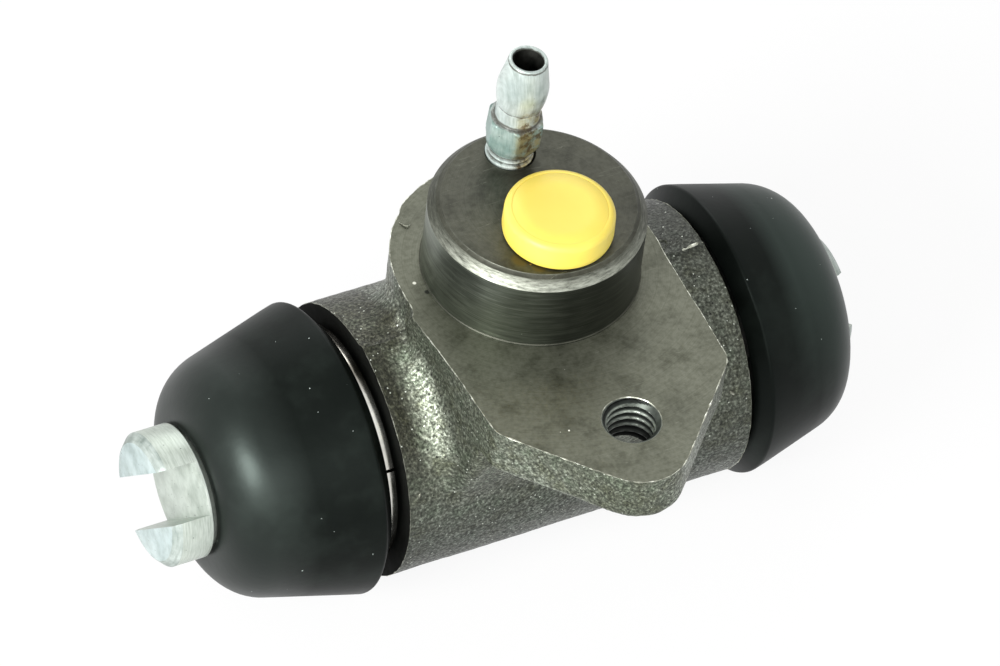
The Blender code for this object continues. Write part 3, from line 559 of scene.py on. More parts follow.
def zinc_plate(name, codes, stain=0.0):
    """Blue-passivated zinc on turned steel: pale and slightly cloudy, with fine tool lines."""
    made, tree, shader, place = start_material(name, Metallic=0.4)
    cloud = grain(tree, place, 2.2, 4, 0.6)
    squash = add_node(tree, "ShaderNodeMapping", {"Vector": place, "Scale": (12, 1, 1)}).outputs[0]
    lines = grain(tree, squash, 1.2, 3, 0.6)
    colour = ramp(tree, cloud, [(0.32, codes[0]), (0.5, codes[1]), (0.7, codes[2])])
    colour = tinted(tree, colour, lines, [(0.3, "#DADDDA"), (0.6, "#FFFFFF")])
    dark = specks(tree, place, 0.9, 0.08, 0.20)
    colour = paint(tree, colour, dark, "#4B5450")
    if stain:
        # Oil and rust gathered on the screw's side that faces the right
        over = add_node(tree, "ShaderNodeVectorMath", {0: place, 1: (0.846, -0.534, 0)},
                        operation="DOT_PRODUCT")
        side = spread(tree, over.outputs["Value"], -0.0047, -0.0033)
        high = spread(tree, parts_of(tree, place)["Z"], (BOSS_TOP + 11.5) * MM, (BOSS_TOP + 9.5) * MM)
        where = times(tree, times(tree, side, high), stain)
        amber = times(tree, spread(tree, grain(tree, place, 1.7, 4, 0.65), 0.42, 0.58), where)
        rust = times(tree, spread(tree, grain(tree, place, 0.9, 4, 0.7), 0.52, 0.60), where)
        colour = paint(tree, colour, amber, "#A4986A")
        colour = paint(tree, colour, rust, "#5E4A2A")
        # Painted shade darkens the grooves, by height along the tilted screw
        rise = add_node(tree, "ShaderNodeVectorMath", {0: place, 1: (0.0628, 0, 0.998)},
                        operation="DOT_PRODUCT")
        wander = times(tree, maths(tree, "SUBTRACT", grain(tree, place, 0.9, 3, 0.7), 0.5), 0.0006)
        level = maths(tree, "ADD", maths(tree, "SUBTRACT", rise.outputs["Value"], 0.012394), wander)
        for groove, half in ((0.53, 0.16), (1.3, 0.26), (7.36, 0.24), (9.66, 0.10), (17.42, 0.13)):
            near = maths(tree, "ABSOLUTE", maths(tree, "SUBTRACT", level, groove * MM))
            painted_groove_shade = spread(tree, near, half * 1.5 * MM, half * 0.4 * MM, 0.0, 0.85)
            colour = paint(tree, colour, painted_groove_shade, "#3B362B")
    attach(shader, "Base Color", colour)
    attach(shader, "Roughness", spread(tree, cloud, 0.3, 0.7, 0.3, 0.45))
    attach(shader, "Normal", bump(tree, lines, 0.25, 0.02))
    return made


def spring_steel():
    """Polished spring steel: a mirror with faint drawn lines."""
    made, tree, shader, place = start_material("polished spring steel", Metallic=1.0)
    lines = grain(tree, place, 1.5, 3, 0.6)
    patch = grain(tree, place, 8.0, 2, 0.5)
    bright = ramp(tree, lines, [(0.3, "#C9C8BF"), (0.7, "#F2F1EA")])
    tarnish = ramp(tree, patch, [(0.34, "#8F877C"), (0.46, "#FFFFFF")])
    attach(shader, "Base Color", mix(tree, 1.0, bright, tarnish, "MULTIPLY"))
    attach(shader, "Roughness", spread(tree, lines, 0.3, 0.7, 0.12, 0.2))
    return made


def yellow_polyethylene():
    """Moulded yellow polyethylene: soft, slightly waxy, with a faint scuff here and there."""
    made, tree, shader, place = start_material("moulded yellow polyethylene", Subsurface_Weight=0.08,
                                               Roughness=0.42)
    shader.inputs["Subsurface Radius"].default_value = (0.002, 0.0014, 0.0004)
    cloud = grain(tree, place, 6.0, 3, 0.5)
    colour = ramp(tree, cloud, [(0.3, "#F3DA5C"), (0.5, "#F7E064"), (0.7, "#F9E46C")])
    marks = specks(tree, place, 2.3, 0.11, 0.04)
    attach(shader, "Base Color", mix(tree, marks, colour, to_linear("#8A7A3A")))
    attach(shader, "Normal", bump(tree, grain(tree, place, 0.9, 2, 0.5), 0.12, 0.03))
    return made


# ---- Housing


def arc_reach(angle):
    """The cast flange's radius round its back, in millimetres, at an angle in degrees."""
    table = [(-14, 18.4), (0, 17.95), (20, 18.3), (45, 18.9), (52, 19.15), (53, 19.65), (90, 19.8),
             (127, 19.8), (128.5, 19.35), (140, 19.3), (151, 19.05), (160, 18.85), (168, 18.6),
             (176, 18.45), (188, 18.45)]
    for (a, one), (b, two) in zip(table, table[1:]):
        if a <= angle <= b:
            return one + (two - one) * (angle - a) / (b - a)
    return table[-1][1]


def flange_outline():
    """The cast flange from above: its lobed front half, then its round back, which is set over."""
    right_corner, left_corner = (17.3, -25.4), (-17.95, -25.8)
    centre, radius = Vector((-1.1, -34.47)), 6.91
    slants = []
    for corner, sign in ((right_corner, 1), (left_corner, -1)):
        to = centre - Vector(corner)
        slants.append(math.atan2(to.y, to.x) + sign * math.asin(radius / to.length))
    one, two = math.tan(slants[0]), math.tan(slants[1])
    x = (left_corner[1] - right_corner[1] + one * right_corner[0] - two * left_corner[0]) / (one - two)
    apex = (x, right_corner[1] + one * (x - right_corner[0]))
    corners = [(17.75, -5.0), right_corner, apex, left_corner, (-18.75, -2.2)]
    front = round_corners(corners, [3.2, radius, 3.0], 14)
    start, end = math.degrees(math.atan2(-2.6, 18.1)), 186.0
    back = []
    steps = 72
    for i in range(steps + 1):
        angle = end + (start - end) * i / steps
        reach = arc_reach(angle)
        back.append((reach * math.cos(math.radians(angle)), reach * math.sin(math.radians(angle))))
    return front + back


def prism(bm, outline, levels):
    """A closed prism through levels of (height, inset from the outline, furthest reach to the front)."""
    rings = []
    for height, inset, front_limit in levels:
        ring = []
        for x, y in outline:
            reach = math.hypot(x, y)
            k = (reach - inset) / reach
            ring.append((x * k, max(y * k, -front_limit), height))
        rings.append(ring)
    skin_rings(bm, rings)


def cast_blend(bm, side, wall, radius, start, end):
    """The concave blend between the stem's side and the barrel, swept round the bore axis."""
    rings = []
    steps = 24
    furthest = wall
    for i in range(steps + 1):
        angle = math.radians(start + (end - start) * i / steps)
        # Behind the boss the stem is round, and the blend follows it inwards
        behind = max(0.0, -math.sin(angle))
        wall = min(furthest, math.sqrt(STEM_RADIUS ** 2 - (21.5 * behind) ** 2))
        ease = min(1.0, (i + 1) / 5, (steps - i + 1) / 6)
        arc = radius * ease * (1 - 0.5 * behind)
        points = []
        for k in range(9):
            turn_by = math.pi / 2 * k / 8
            points.append((wall + arc * (1 - math.cos(turn_by)),
                           BARREL_RADIUS + arc * (1 - math.sin(turn_by))))
        points += [(wall + arc, BARREL_RADIUS - 3), (wall - 2, BARREL_RADIUS - 3),
                   (wall - 2, BARREL_RADIUS + arc)]
        rings.append([(side * x, -r * math.sin(angle), r * math.cos(angle) + BORE_Z) for x, r in points])
    skin_rings(bm, rings)


def cast_blank(sizes):
    """The raw casting before machining, its parts melted together into one skin."""
    bm = bmesh.new()
    turn(bm, [(BARREL_RADIUS, CAST_ENDS[0] - 1.5), (BARREL_RADIUS, CAST_ENDS[1] + 1.5)], 160, on_bore(1))
    outline = flange_outline()
    low = FLANGE_BOTTOM
    prism(bm, outline, [(1.6, -0.05, 99), (low + 0.9, 0.0, 99), (low + 0.25, 0.3, 99), (low, 0.95, 99)])
    prism(bm, outline, [(low + 1.0, 0.5, 22.0), (-12.0, 0.5, 21.6), (-22.0, 0.5, 18.6)])
    cast_blend(bm, -1, 18.0, 5.4, 6, 72)
    cast_blend(bm, 1, 17.0, 5.0, 8, 72)
    cast_blend(bm, -1, 18.0, 6.0, -58, 10)
    cast_blend(bm, 1, 17.4, 3.2, -58, 10)
    blank = add_piece("cast_housing", bm, [])
    remesh = blank.modifiers.new("skin", "REMESH")
    remesh.mode = "VOXEL"
    remesh.voxel_size = sizes.skin_cell
    settle(blank)
    group = blank.vertex_groups.new(name="blend")
    for vertex in blank.data.vertices:
        z = vertex.co.z / MM
        if z < -8.2:
            group.add([vertex.index], min(1.0, (-8.2 - z) / 1.5), "REPLACE")
    even = blank.modifiers.new("even", "SMOOTH")
    even.factor = 0.5
    even.iterations = 5
    melt = blank.modifiers.new("melt", "SMOOTH")
    melt.factor = 0.5
    melt.iterations = 26
    melt.vertex_group = "blend"
    settle(blank)
    blank.vertex_groups.clear()
    return blank


def roughen(blank):
    """Gives the casting its uneven skin, the mould's parting line and the flash left along it."""
    mesh = blank.data
    normals = [vertex.normal.copy() for vertex in mesh.vertices]
    for vertex, normal in zip(mesh.vertices, normals):
        p = vertex.co / MM
        swell = noise.noise(p * 0.13 + Vector((3, 8, 1))) * 0.12
        skin = noise.noise(p * 0.9) * 0.05 + noise.noise(p * 2.1 + Vector((9, 2, 4))) * 0.025
        seam = 0.0
        behind = p.y + 2.6 + 0.28 * p.z + 0.3 * noise.noise(Vector((p.x * 0.5, 0, 0)))
        part = abs(behind)
        if -8 < p.z < -0.5 and part < 0.9:
            lump = max(0.0, noise.noise(Vector((p.x * 0.55, 4, p.z * 0.3))) + 0.15)
            seam = (0.10 + 0.45 * lump) * (1 - part / 0.9)
        if p.x < -16 and -9 < p.z < 3 and -7 < behind < 0.15:
            # On the left the mould's front half sat a little proud of the other
            seam += 0.42 * min(1.0, (0.15 - behind) / 0.3) * (1 + behind / 7)
        vertex.co += normal * ((swell + skin + seam) * MM)
    mesh.update()


def machine_faces(blank):
    """Cuts the flange face and the barrel's ends flat; returns their edge loops."""
    bm = bmesh.new()
    bm.from_mesh(blank.data)
    loops = []
    planes = [((0, 0, 0), (0, 0, 1)), ((CAST_ENDS[0] * MM, 0, 0), (-1, 0, 0)),
              ((CAST_ENDS[1] * MM, 0, 0), (1, 0, 0))]
    for at, normal in planes:
        geometry = bm.verts[:] + bm.edges[:] + bm.faces[:]
        done = bmesh.ops.bisect_plane(bm, geom=geometry, plane_co=at, plane_no=normal, clear_outer=True)
        edges = [g for g in done["geom_cut"] if isinstance(g, bmesh.types.BMEdge)]
        face = bmesh.ops.edgeloop_fill(bm, edges=edges)["faces"][0]
        if face.normal.dot(Vector(normal)) < 0:
            face.normal_flip()
        loops.append(([v.co / MM for v in face.verts], normal))
    bmesh.ops.triangulate(bm, faces=[f for f in bm.faces if len(f.verts) > 4])
    bm.to_mesh(blank.data)
    bm.free()
    return loops


def hole_tools():
    """The closed shapes of everything drilled into the casting."""
    bottom = FLANGE_BOTTOM
    floor = BORE_Z + BORE_RADIUS * 0.5 - BOSS_TOP
    port = [(6.2, 1.6), (PORT_RADIUS, -0.6), (PORT_RADIUS, -10.0), (1.5, -11.8), (1.5, floor)]
    bleed = [(4.3, 1.0), (BLEED_RADIUS, -0.25), (BLEED_RADIUS, -12.8), (0.9, -15.2), (0.9, floor)]
    return [
        turned_tool("bore_tool", [(BORE_RADIUS, -40), (BORE_RADIUS, 40)], 128, on_bore(1)),
        turned_tool("mounting_tool", [(5.15, 1), (3.98, -0.17), (3.98, bottom + 0.2), (5.2, bottom - 1)],
                    96,
                    Matrix.Translation((0, HOLE_Y, 0))),
        turned_tool("port_tool", port, 64, Matrix.Translation((0, PORT_Y, BOSS_TOP))),
        turned_tool("bleed_tool", bleed, 64, at_bleed()),
    ]


def slot_by_place(obj):
    """Gives each face of the cut casting the finish of the tool that made it."""
    for face in obj.data.polygons:
        c = face.center / MM
        from_bore = math.hypot(c.y, c.z - BORE_Z)
        if abs(c.z) < 0.01 and abs(face.normal.z) > 0.9:
            face.material_index = 1
        # The barrel's end faces take the iron painted black as shade
        elif min(abs(c.x - CAST_ENDS[0]), abs(c.x - CAST_ENDS[1])) < 0.02:
            face.material_index = 4
        elif math.hypot(c.x, c.y - HOLE_Y) < 4.4 and c.z > -7.4:
            face.material_index = 3
        elif from_bore < BORE_RADIUS + 0.1 or math.hypot(c.x, c.y - PORT_Y) < 4.75 or \
                math.hypot(c.x - 0.3, c.y - BLEED_AT[1]) < 3.5 and c.z > -10:
            face.material_index = 2
        else:
            face.material_index = 0


def turned_boss(finishes):
    """The boss as the lathe left it: root line, low step, side, chamfer, band and top face."""
    profile = [
        (15.08, -3.0), (15.08, 0.16), (14.97, 0.30), (14.93, 0.9), (14.90, 2.0), (14.90, 10.55),
        (14.84, 10.66), (13.86, 11.90), (13.78, 11.94), (13.36, 12.33), (13.28, BOSS_TOP),
        (6.0, BOSS_TOP),
    ]
    slots = [0, 3, 0, 0, 0, 2, 2, 2, 3, 2, 3]
    bm = bmesh.new()
    turn(bm, profile, 256, slots=slots)
    boss = add_piece("boss", bm, finishes, sharp=18)
    drillings = [
        turned_tool("port_tool",
                    [(6.4, 1.8), (PORT_RADIUS, -0.6), (PORT_RADIUS, -10.0), (PORT_RADIUS, -17)], 64,
                    Matrix.Translation((0, PORT_Y, BOSS_TOP))),
        turned_tool("bleed_tool", [(4.3, 1.0), (BLEED_RADIUS, -0.25), (BLEED_RADIUS, -17)], 64,
                    at_bleed()),
    ]
    return cut(boss, drillings, sharp=18)


def threaded_wall(profile, z0, z1, pitch, facets, per_turn, limit=None):
    """Rows of a threaded surface: radius by height and angle, and how near each point is to a crest."""
    rows = []
    count = int((z1 - z0) / pitch * per_turn) + 1
    for k in range(count + 1):
        z = z0 + (z1 - z0) * k / count
        row = []
        for i in range(facets):
            phase = (z / pitch + i / facets) % 1.0
            radius, crest = profile(phase)
            if limit:
                radius, crest = limit(z, radius, crest)
            angle = 2 * math.pi * i / facets
            row.append((radius * math.cos(angle), radius * math.sin(angle), z, crest))
        rows.append(row)
    return rows


def mounting_thread(sizes, finish):
    """The M8 thread tapped in the lobe, as a thin liner of the hole."""
    pitch, major, minor = sizes.thread_pitch / MM, 3.95, 3.95 - 0.55 * sizes.thread_pitch / MM

    def profile(phase):
        rise = min(phase, 1 - phase) * 2
        k = min(1.0, max(0.0, (rise - 0.12) / 0.70))
        return major + (minor - major) * k, k

    def mouth(z, radius, crest):
        cone = 4.02 + z + 0.05 if z > -1.2 else 0
        cone = max(cone, 4.02 + (FLANGE_BOTTOM - z) + 0.05) if z < FLANGE_BOTTOM + 1.2 else cone
        return (cone, 0.66) if cone > radius else (radius, crest)

    rows = threaded_wall(profile, FLANGE_BOTTOM + 0.1, -0.1, pitch, 96, 16, mouth)
    bm = bmesh.new()
    crest_layer = bm.verts.layers.float.new("crest")
    rings = []
    for row in rows:
        ring = []
        for x, y, z, crest in row:
            vertex = bm.verts.new((x, y + HOLE_Y, z))
            vertex[crest_layer] = crest
            ring.append(vertex)
        rings.append(ring)
    for height in (-0.1, FLANGE_BOTTOM + 0.1):
        ring = []
        for i in range(96):
            angle = 2 * math.pi * i / 96
            vertex = bm.verts.new((4.06 * math.cos(angle), 4.06 * math.sin(angle) + HOLE_Y, height))
            vertex[crest_layer] = 0.7
            ring.append(vertex)
        rings.append(ring)
    for near, far in zip(rings, rings[1:] + rings[:1]):
        for i in range(96):
            j = (i + 1) % 96
            bm.faces.new((near[i], near[j], far[j], far[i]))
    return add_piece("mounting_thread", bm, [finish], sharp=40)


def even_points(loop, step):
    """Points at even steps along a closed loop."""
    closed = loop + loop[:1]
    lengths = [0.0]
    for a, b in zip(closed, closed[1:]):
        lengths.append(lengths[-1] + (b - a).length)
    count = int(lengths[-1] / step)
    points = []
    k = 0
    for i in range(count):
        target = lengths[-1] * i / count
        while lengths[k + 1] < target:
            k += 1
        share = (target - lengths[k]) / max(lengths[k + 1] - lengths[k], 1e-9)
        points.append(closed[k].lerp(closed[k + 1], share))
    return points


def rubbed_edge(bm, loop, normal, width):
    """Lays a thin ridge of uneven width along the edge of a machined face."""
    normal = Vector(normal)
    points = even_points(loop, 0.25)
    rings = []
    for i, p in enumerate(points):
        along = (points[(i + 2) % len(points)] - points[i - 2]).normalized()
        out = along.cross(normal)
        worn = 0.62 + 1.1 * noise.noise(p * 0.7 + Vector((7, 1, 3))) + 0.7 * noise.noise(p * 2.3)
        half = width * max(worn, 0.10)
        ring = []
        for j in range(6):
            angle = 2 * math.pi * j / 6
            ring.append(p + out * (half * math.cos(angle)) + normal * (0.6 * half * math.sin(angle) - 0.02))
        rings.append(ring)
    skin_rings(bm, rings, closed=True)


def sliver(bm, path):
    """A short sliver or lump of flash through (x, y, z, radius) points."""
    rings = []
    for i, (x, y, z, radius) in enumerate(path):
        at = Vector((x, y, z))
        after, before = path[min(i + 1, len(path) - 1)], path[max(i - 1, 0)]
        along = (Vector(after[:3]) - Vector(before[:3])).normalized()
        side = along.cross(Vector((0, 0, 1))).normalized()
        up = side.cross(along)
        ring = []
        for j in range(10):
            angle = 2 * math.pi * j / 10
            rough = radius * (1 + 0.35 * noise.noise(at * 3 + Vector((j * 1.7, 0, 0))))
            ring.append(at + side * (rough * math.cos(angle)) + up * (rough * math.sin(angle)))
        rings.append(ring)
    skin_rings(bm, rings)


FLASH = (
    # The hooked spur beside the boss, where the mould's halves met
    [(17.6, -1.7, -0.30, 0.10), (18.0, -2.2, -0.27, 0.26), (18.6, -2.65, -0.26, 0.25),
     (19.1, -2.85, -0.25, 0.22),
     (19.3, -3.15, -0.28, 0.18), (19.0, -3.6, -0.32, 0.15), (18.45, -4.0, -0.35, 0.15),
     (17.8, -4.7, -0.4, 0.08)],
    # The parting ridge on the barrel's right, with its lumps
    [(20.4, -1.0, -5.95, 0.05), (21.6, -1.1, -5.9, 0.10), (23.2, -1.0, -5.9, 0.09),
     (23.45, -0.95, -5.86, 0.15),
     (23.7, -0.9, -5.82, 0.18), (23.95, -0.9, -5.86, 0.13), (24.2, -0.85, -5.88, 0.10),
     (24.5, -0.8, -5.82, 0.24),
     (25.1, -0.75, -5.78, 0.30), (25.7, -0.65, -5.78, 0.29), (26.1, -0.55, -5.84, 0.20),
     (26.4, -0.5, -5.9, 0.08),
     (26.7, -0.75, -5.86, 0.12)],
    # A faint ridge on the barrel's left
    [(-25.2, -1.2, -5.9, 0.08), (-24.0, -1.3, -5.88, 0.12), (-22.6, -1.2, -5.9, 0.07),
     (-21.0, -1.4, -5.9, 0.10)],
    # A curl of swarf left on the flange beside the boss
    [(-13.25, 13.3, 0.06, 0.03), (-13.1, 12.9, 0.12, 0.08), (-12.95, 12.5, 0.18, 0.11),
     (-12.6, 12.15, 0.22, 0.10),
     (-12.3, 12.2, 0.2, 0.07), (-12.1, 12.35, 0.15, 0.03)],
    # Lumps that the sand left on the barrel
    [(23.5, -17.6, -17.3, 0.12), (23.8, -17.75, -17.55, 0.30), (24.1, -17.9, -17.9, 0.10)],
    [(-23.6, -17.85, -18.0, 0.08), (-23.8, -18.0, -18.3, 0.22), (-23.9, -18.1, -18.6, 0.08)],
)


def bright_edges(loops, sizes, finish, raw):
    """The rubbed edges of the machined faces, and the flash and swarf left on the casting."""
    bm = bmesh.new()
    for (points, normal), share in zip(loops, (1.0, 0.7, 0.7)):
        rubbed_edge(bm, points, normal, sizes.edge_width / MM * share)
    for path in FLASH:
        before = len(bm.faces)
        sliver(bm, path)
        bm.faces.ensure_lookup_table()
        for face in bm.faces[before:]:
            face.material_index = 1 if path is FLASH[0] else 0
    return add_piece("bright_edges_and_flash", bm, [finish, raw], sharp=60)


# ---- Rubber boots, rings and pistons


BOOT = {
    "wall": 1.6, "rim": 20.7, "rim_back": 18.5, "rim_step": 3.35, "back_step": 1.6, "skirt_step": 2.0,
    "skirt": 20.2, "slope": 0.27, "lip_inset": 6.4, "lip": 1.5,
}
NOSE = {-1: 48.2, 1: 45.8}
SHOULDER_ROUND = {-1: 8.5, 1: 7.6}
FOLD = {-1: 0.0, 1: 10.7}
SHOULDER = {-1: -CAST_ENDS[0], 1: CAST_ENDS[1]}
HALF_CAST = 26.05
COLLAR_IN = LAND_RADIUS + CLEARANCE
COLLAR_OUT = COLLAR_IN + 1.1
RING_IN = COLLAR_OUT + CLEARANCE
RING_OUT = RING_IN + 1.4
RING_WIDTH = 2.5


def boot_profile(side):
    """The boot's closed section as (distance along the bore, radius)."""
    rim_at = HALF_CAST + BOOT["rim_step"]
    skirt_at = rim_at + BOOT["skirt_step"]
    nose = NOSE[side]
    nose_radius = BOOT["skirt"] - BOOT["slope"] * (nose - skirt_at)
    corners = [(skirt_at, BOOT["skirt"]), (nose, nose_radius)]
    radii = [SHOULDER_ROUND[side]]
    if FOLD[side]:
        corners.append((nose, FOLD[side]))
        radii.append(0.35)
    corners.append((PISTON_REACH[side] - BOOT["lip_inset"], PISTON_RADIUS + CLEARANCE))
    inner = offset_path(corners, BOOT["wall"])
    lip = corners[-1][0]
    foot = min(inner[-1][0], lip - BOOT["lip"])
    groove = PISTON_RADIUS - GROOVE_DEPTH + CLEARANCE
    back = SHOULDER[side] + CLEARANCE
    recess = back + RING_WIDTH + 0.5
    roof = RING_OUT + CLEARANCE
    under = HALF_CAST + BOOT["back_step"]
    seat = [(back, COLLAR_IN), (back, COLLAR_OUT), (recess, COLLAR_OUT), (recess, roof), (under, roof),
            (under, BOOT["rim_back"] - 0.15), (under + 0.12, BOOT["rim_back"])]
    edge = round_corners([seat[-1], (rim_at, BOOT["rim"]), corners[0]], [0.55], 6)
    lip_path = round_corners([corners[-1], (lip, groove), (foot, groove)], [0.35], 4)
    path = seat + edge[1:-1] + round_corners(corners, radii, 14)[:-1] + lip_path
    if foot < inner[-1][0] - 0.1:
        path.append((foot, inner[-1][1]))
    path += round_corners(inner, [max(r - BOOT["wall"], 0) for r in radii], 14)[::-1]
    bead_out = BARREL_END - 3.4 - CLEARANCE
    bead_in = bead_out - 1.4
    start = inner[0][0]
    return path + [(start, COLLAR_IN + 0.8), (start - 0.8, COLLAR_IN), (bead_out, COLLAR_IN),
                   (bead_out, COLLAR_IN - 1), (bead_in, COLLAR_IN - 1), (bead_in, COLLAR_IN)]


def boot(side, finish):
    """One rubber boot, slightly dented and wavy as soft mouldings are."""
    bm = bmesh.new()
    turn(bm, [(r, z) for z, r in boot_profile(side)], 160, on_bore(side), closed=True)
    for vertex in bm.verts:
        p = vertex.co
        reach = math.hypot(p.y, p.z - BORE_Z)
        free = max(0.0, min(1.0, (side * p.x - 31.4) / 5)) * max(0.0, min(1.0, (reach - 10.6) / 3))
        wave = noise.noise(p * 0.075 + Vector((side * 5, 2, 9))) * 0.35
        out = Vector((0, p.y, p.z - BORE_Z)).normalized()
        vertex.co += out * (wave * free)
    obj = add_piece(SIDE_NAME[side] + "_rubber_boot", bm, [finish], sharp=38)
    return obj


def clamp_ring(side, finish):
    """The split steel ring with rounded edges that grips the boot's collar."""
    start = SHOULDER[side] + 0.35
    edge = 0.3
    corners = [(start, RING_IN), (start, RING_OUT), (start + RING_WIDTH, RING_OUT),
               (start + RING_WIDTH, RING_IN)]
    path = round_corners([(start, (RING_IN + RING_OUT) / 2)] + corners[1:] + corners[:1]
                         + [(start, (RING_IN + RING_OUT) / 2)], [edge, edge, 0.1, 0.1], 4)[:-1]
    bm = bmesh.new()
    turn(bm, [(r, z) for z, r in path], 160, on_bore(side), closed=True)
    ring = add_piece(SIDE_NAME[side] + "_clamp_ring", bm, [finish], sharp=30)
    block = bmesh.new()
    spin = Matrix.Translation((side * start, 0, BORE_Z)) @ Matrix.Rotation(math.radians(-32.4), 4, "X")
    bmesh.ops.create_cube(block, size=1)
    bmesh.ops.transform(block, matrix=spin @ Matrix.Translation((0, -RING_OUT, 0)) @
                        Matrix.Diagonal((8, 2 * RING_OUT, 0.45, 1)), verts=block.verts)
    cut(ring, [add_piece("split_tool", block, [])], sharp=30)
    return ring


def piston(side, finishes):
    """A turned piston with chamfers, boot groove and the milled slot for the shoe's web."""
    reach = PISTON_REACH[side]
    groove_out, groove_in = reach - 5.8, reach - 8.6
    rear = reach - PISTON_LENGTH
    profile = [
        (PISTON_RADIUS - 0.55, rear), (PISTON_RADIUS, rear + 0.55), (PISTON_RADIUS, groove_in - 0.15),
        (PISTON_RADIUS - 0.15, groove_in), (PISTON_RADIUS - GROOVE_DEPTH, groove_in),
        (PISTON_RADIUS - GROOVE_DEPTH, groove_out),
        (PISTON_RADIUS - 0.15, groove_out), (PISTON_RADIUS, groove_out + 0.15),
        (PISTON_RADIUS, reach - 1.1),
        (PISTON_RADIUS - 0.06, reach - 0.98), (PISTON_RADIUS - 1.0, reach - 0.05),
        (PISTON_RADIUS - 1.15, reach),
    ]
    slots = [0, 0, 0, 0, 0, 0, 0, 0, 1, 1, 1]
    bm = bmesh.new()
    turn(bm, profile, 144, on_bore(side), slots=slots)
    for face in bm.faces:
        if len(face.verts) > 4 and side * face.calc_center_median().x > reach - 1:
            face.material_index = 2
    body = add_piece(SIDE_NAME[side] + "_slotted_piston", bm, finishes, sharp=20)
    block = bmesh.new()
    bmesh.ops.create_cube(block, size=1)
    spin = Matrix.Translation((side * reach, 0, BORE_Z)) @ Matrix.Rotation(-SLOT_ANGLE[side], 4, "X")
    bmesh.ops.transform(block, matrix=spin @ Matrix.Diagonal((2 * SLOT_DEPTH, 40, SLOT_WIDTH, 1)),
                        verts=block.verts)
    cut(body, [add_piece("slot_tool", block, finishes)], sharp=20)
    ease = body.modifiers.new("ease", "BEVEL")
    ease.width = 0.00012
    ease.segments = 2
    ease.limit_method = "ANGLE"
    ease.angle_limit = math.radians(50)
    settle(body, sharp=28)
    return body


# ---- Bleed screw, plug and spring


def hex_ring(radius, height, facets, flats=0.0):
    """A ring of the screw; flats is the width across its hexagon, or 0 for a round one."""
    points = []
    for i in range(facets):
        angle = 2 * math.pi * i / facets
        reach = radius
        if flats:
            to_flat = (angle + HEX_TURN + math.pi / 6) % (math.pi / 3) - math.pi / 6
            reach = min(radius, flats / 2 / math.cos(to_flat))
        points.append(Vector((reach * math.cos(angle), reach * math.sin(angle), height)))
    return points


def bleed_screw(finishes):
    """The bleed screw: cone, thread, hexagon, neck and hose nipple, hollow at its tip."""
    flats, facets = 7.0, 96
    rings = [hex_ring(r, z, facets) for r, z in ((1.0, -14.9), (2.45, -12.5), (2.45, -11.8))]
    slots = [0, 0, 0]

    def profile(phase):
        rise = min(phase, 1 - phase) * 2
        k = min(1.0, max(0.0, (rise - 0.1) / 0.7))
        return 2.92 - 0.45 * k, 1 - k

    for row in threaded_wall(profile, -11.0, -0.8, 1.0, facets, 12):
        rings.append([Vector((x, y, z)) for x, y, z, _ in row])
        slots.append(0)
    upper = [
        (2.9, -0.75, 0), (2.95, -0.35, 0), (3.2, -0.2, 0), (3.3, 0.02, 0), (3.3, 0.2, 0),
        (3.15, 0.34, 0),
        (2.82, 0.44, 0), (2.82, 0.62, 0), (3.05, 0.74, 0), (3.08, 0.9, 0), (2.95, 1.02, 0),
        (2.75, 1.12, 0),
        (2.75, 1.5, 0), (3.05, 1.62, flats), (3.22, 1.8, flats), (3.5, 2.3, flats), (3.85, 2.95, flats),
        (4.02, 3.3, flats), (4.04, 3.6, flats), (4.04, 6.6, flats), (3.92, 6.9, flats),
        (3.6, 7.14, flats),
        (3.42, 7.2, 0), (3.2, 7.24, 0), (3.1, 7.4, 0), (3.06, 7.9, 0), (3.05, 9.3, 0), (3.1, 9.55, 0),
        (3.06, 9.66, 0), (3.16, 9.8, 0), (3.3, 10.4, 0), (3.46, 11.4, 0), (3.53, 12.3, 0),
        (3.53, 12.9, 0),
        (3.47, 13.5, 0), (3.32, 14.3, 0), (3.1, 15.4, 0), (2.85, 16.7, 0), (2.74, 17.3, 0),
        (2.66, 17.42, 0),
        (2.70, 17.56, 0), (2.6, 17.74, 0), (2.42, 17.78, 0), (2.24, 17.7, 0), (2.14, 17.4, 0),
        (2.0, 16.0, 0),
        (1.8, 12.8, 0), (0.85, 11.4, 0), (0.85, -11.5, 0),
    ]
    for r, z, h in upper:
        rings.append(hex_ring(r, z, facets, h))
        slots.append(1 if h and 1.6 < z < 7.15 else 2 if r < 2.1 and z < 17 else 0)
    bm = bmesh.new()
    skin_rings(bm, rings, slots[1:])
    bmesh.ops.transform(bm, matrix=at_bleed(), verts=bm.verts)
    screw = add_piece("hex_bleed_screw", bm, finishes, sharp=34)
    return screw


def transport_plug(finish):
    """The yellow plug: a low cap with a rounded rim and a faint ring, and a hollow stem."""
    top = 4.3
    crown = round_corners([(7.48, 0.3), (7.6, 0.9), (7.52, top), (4.5, top)], [0.3, 1.0], 8)
    profile = [(3.0, top - 1.3), (3.0, -7.2), (3.86, -7.2), (4.28, -5.9), (4.3, 0.3), (4.9, 0.3)] + crown
    profile = profile[:-1] + [(6.62, top), (6.54, top - 0.07), (6.44, top), (4.3, top),
                              (2.0, top + 0.05)]
    bm = bmesh.new()
    turn(bm, profile, 128, Matrix.Translation((0, PORT_Y, BOSS_TOP)))
    plug = add_piece("yellow_transport_plug", bm, [finish], sharp=40)
    return plug


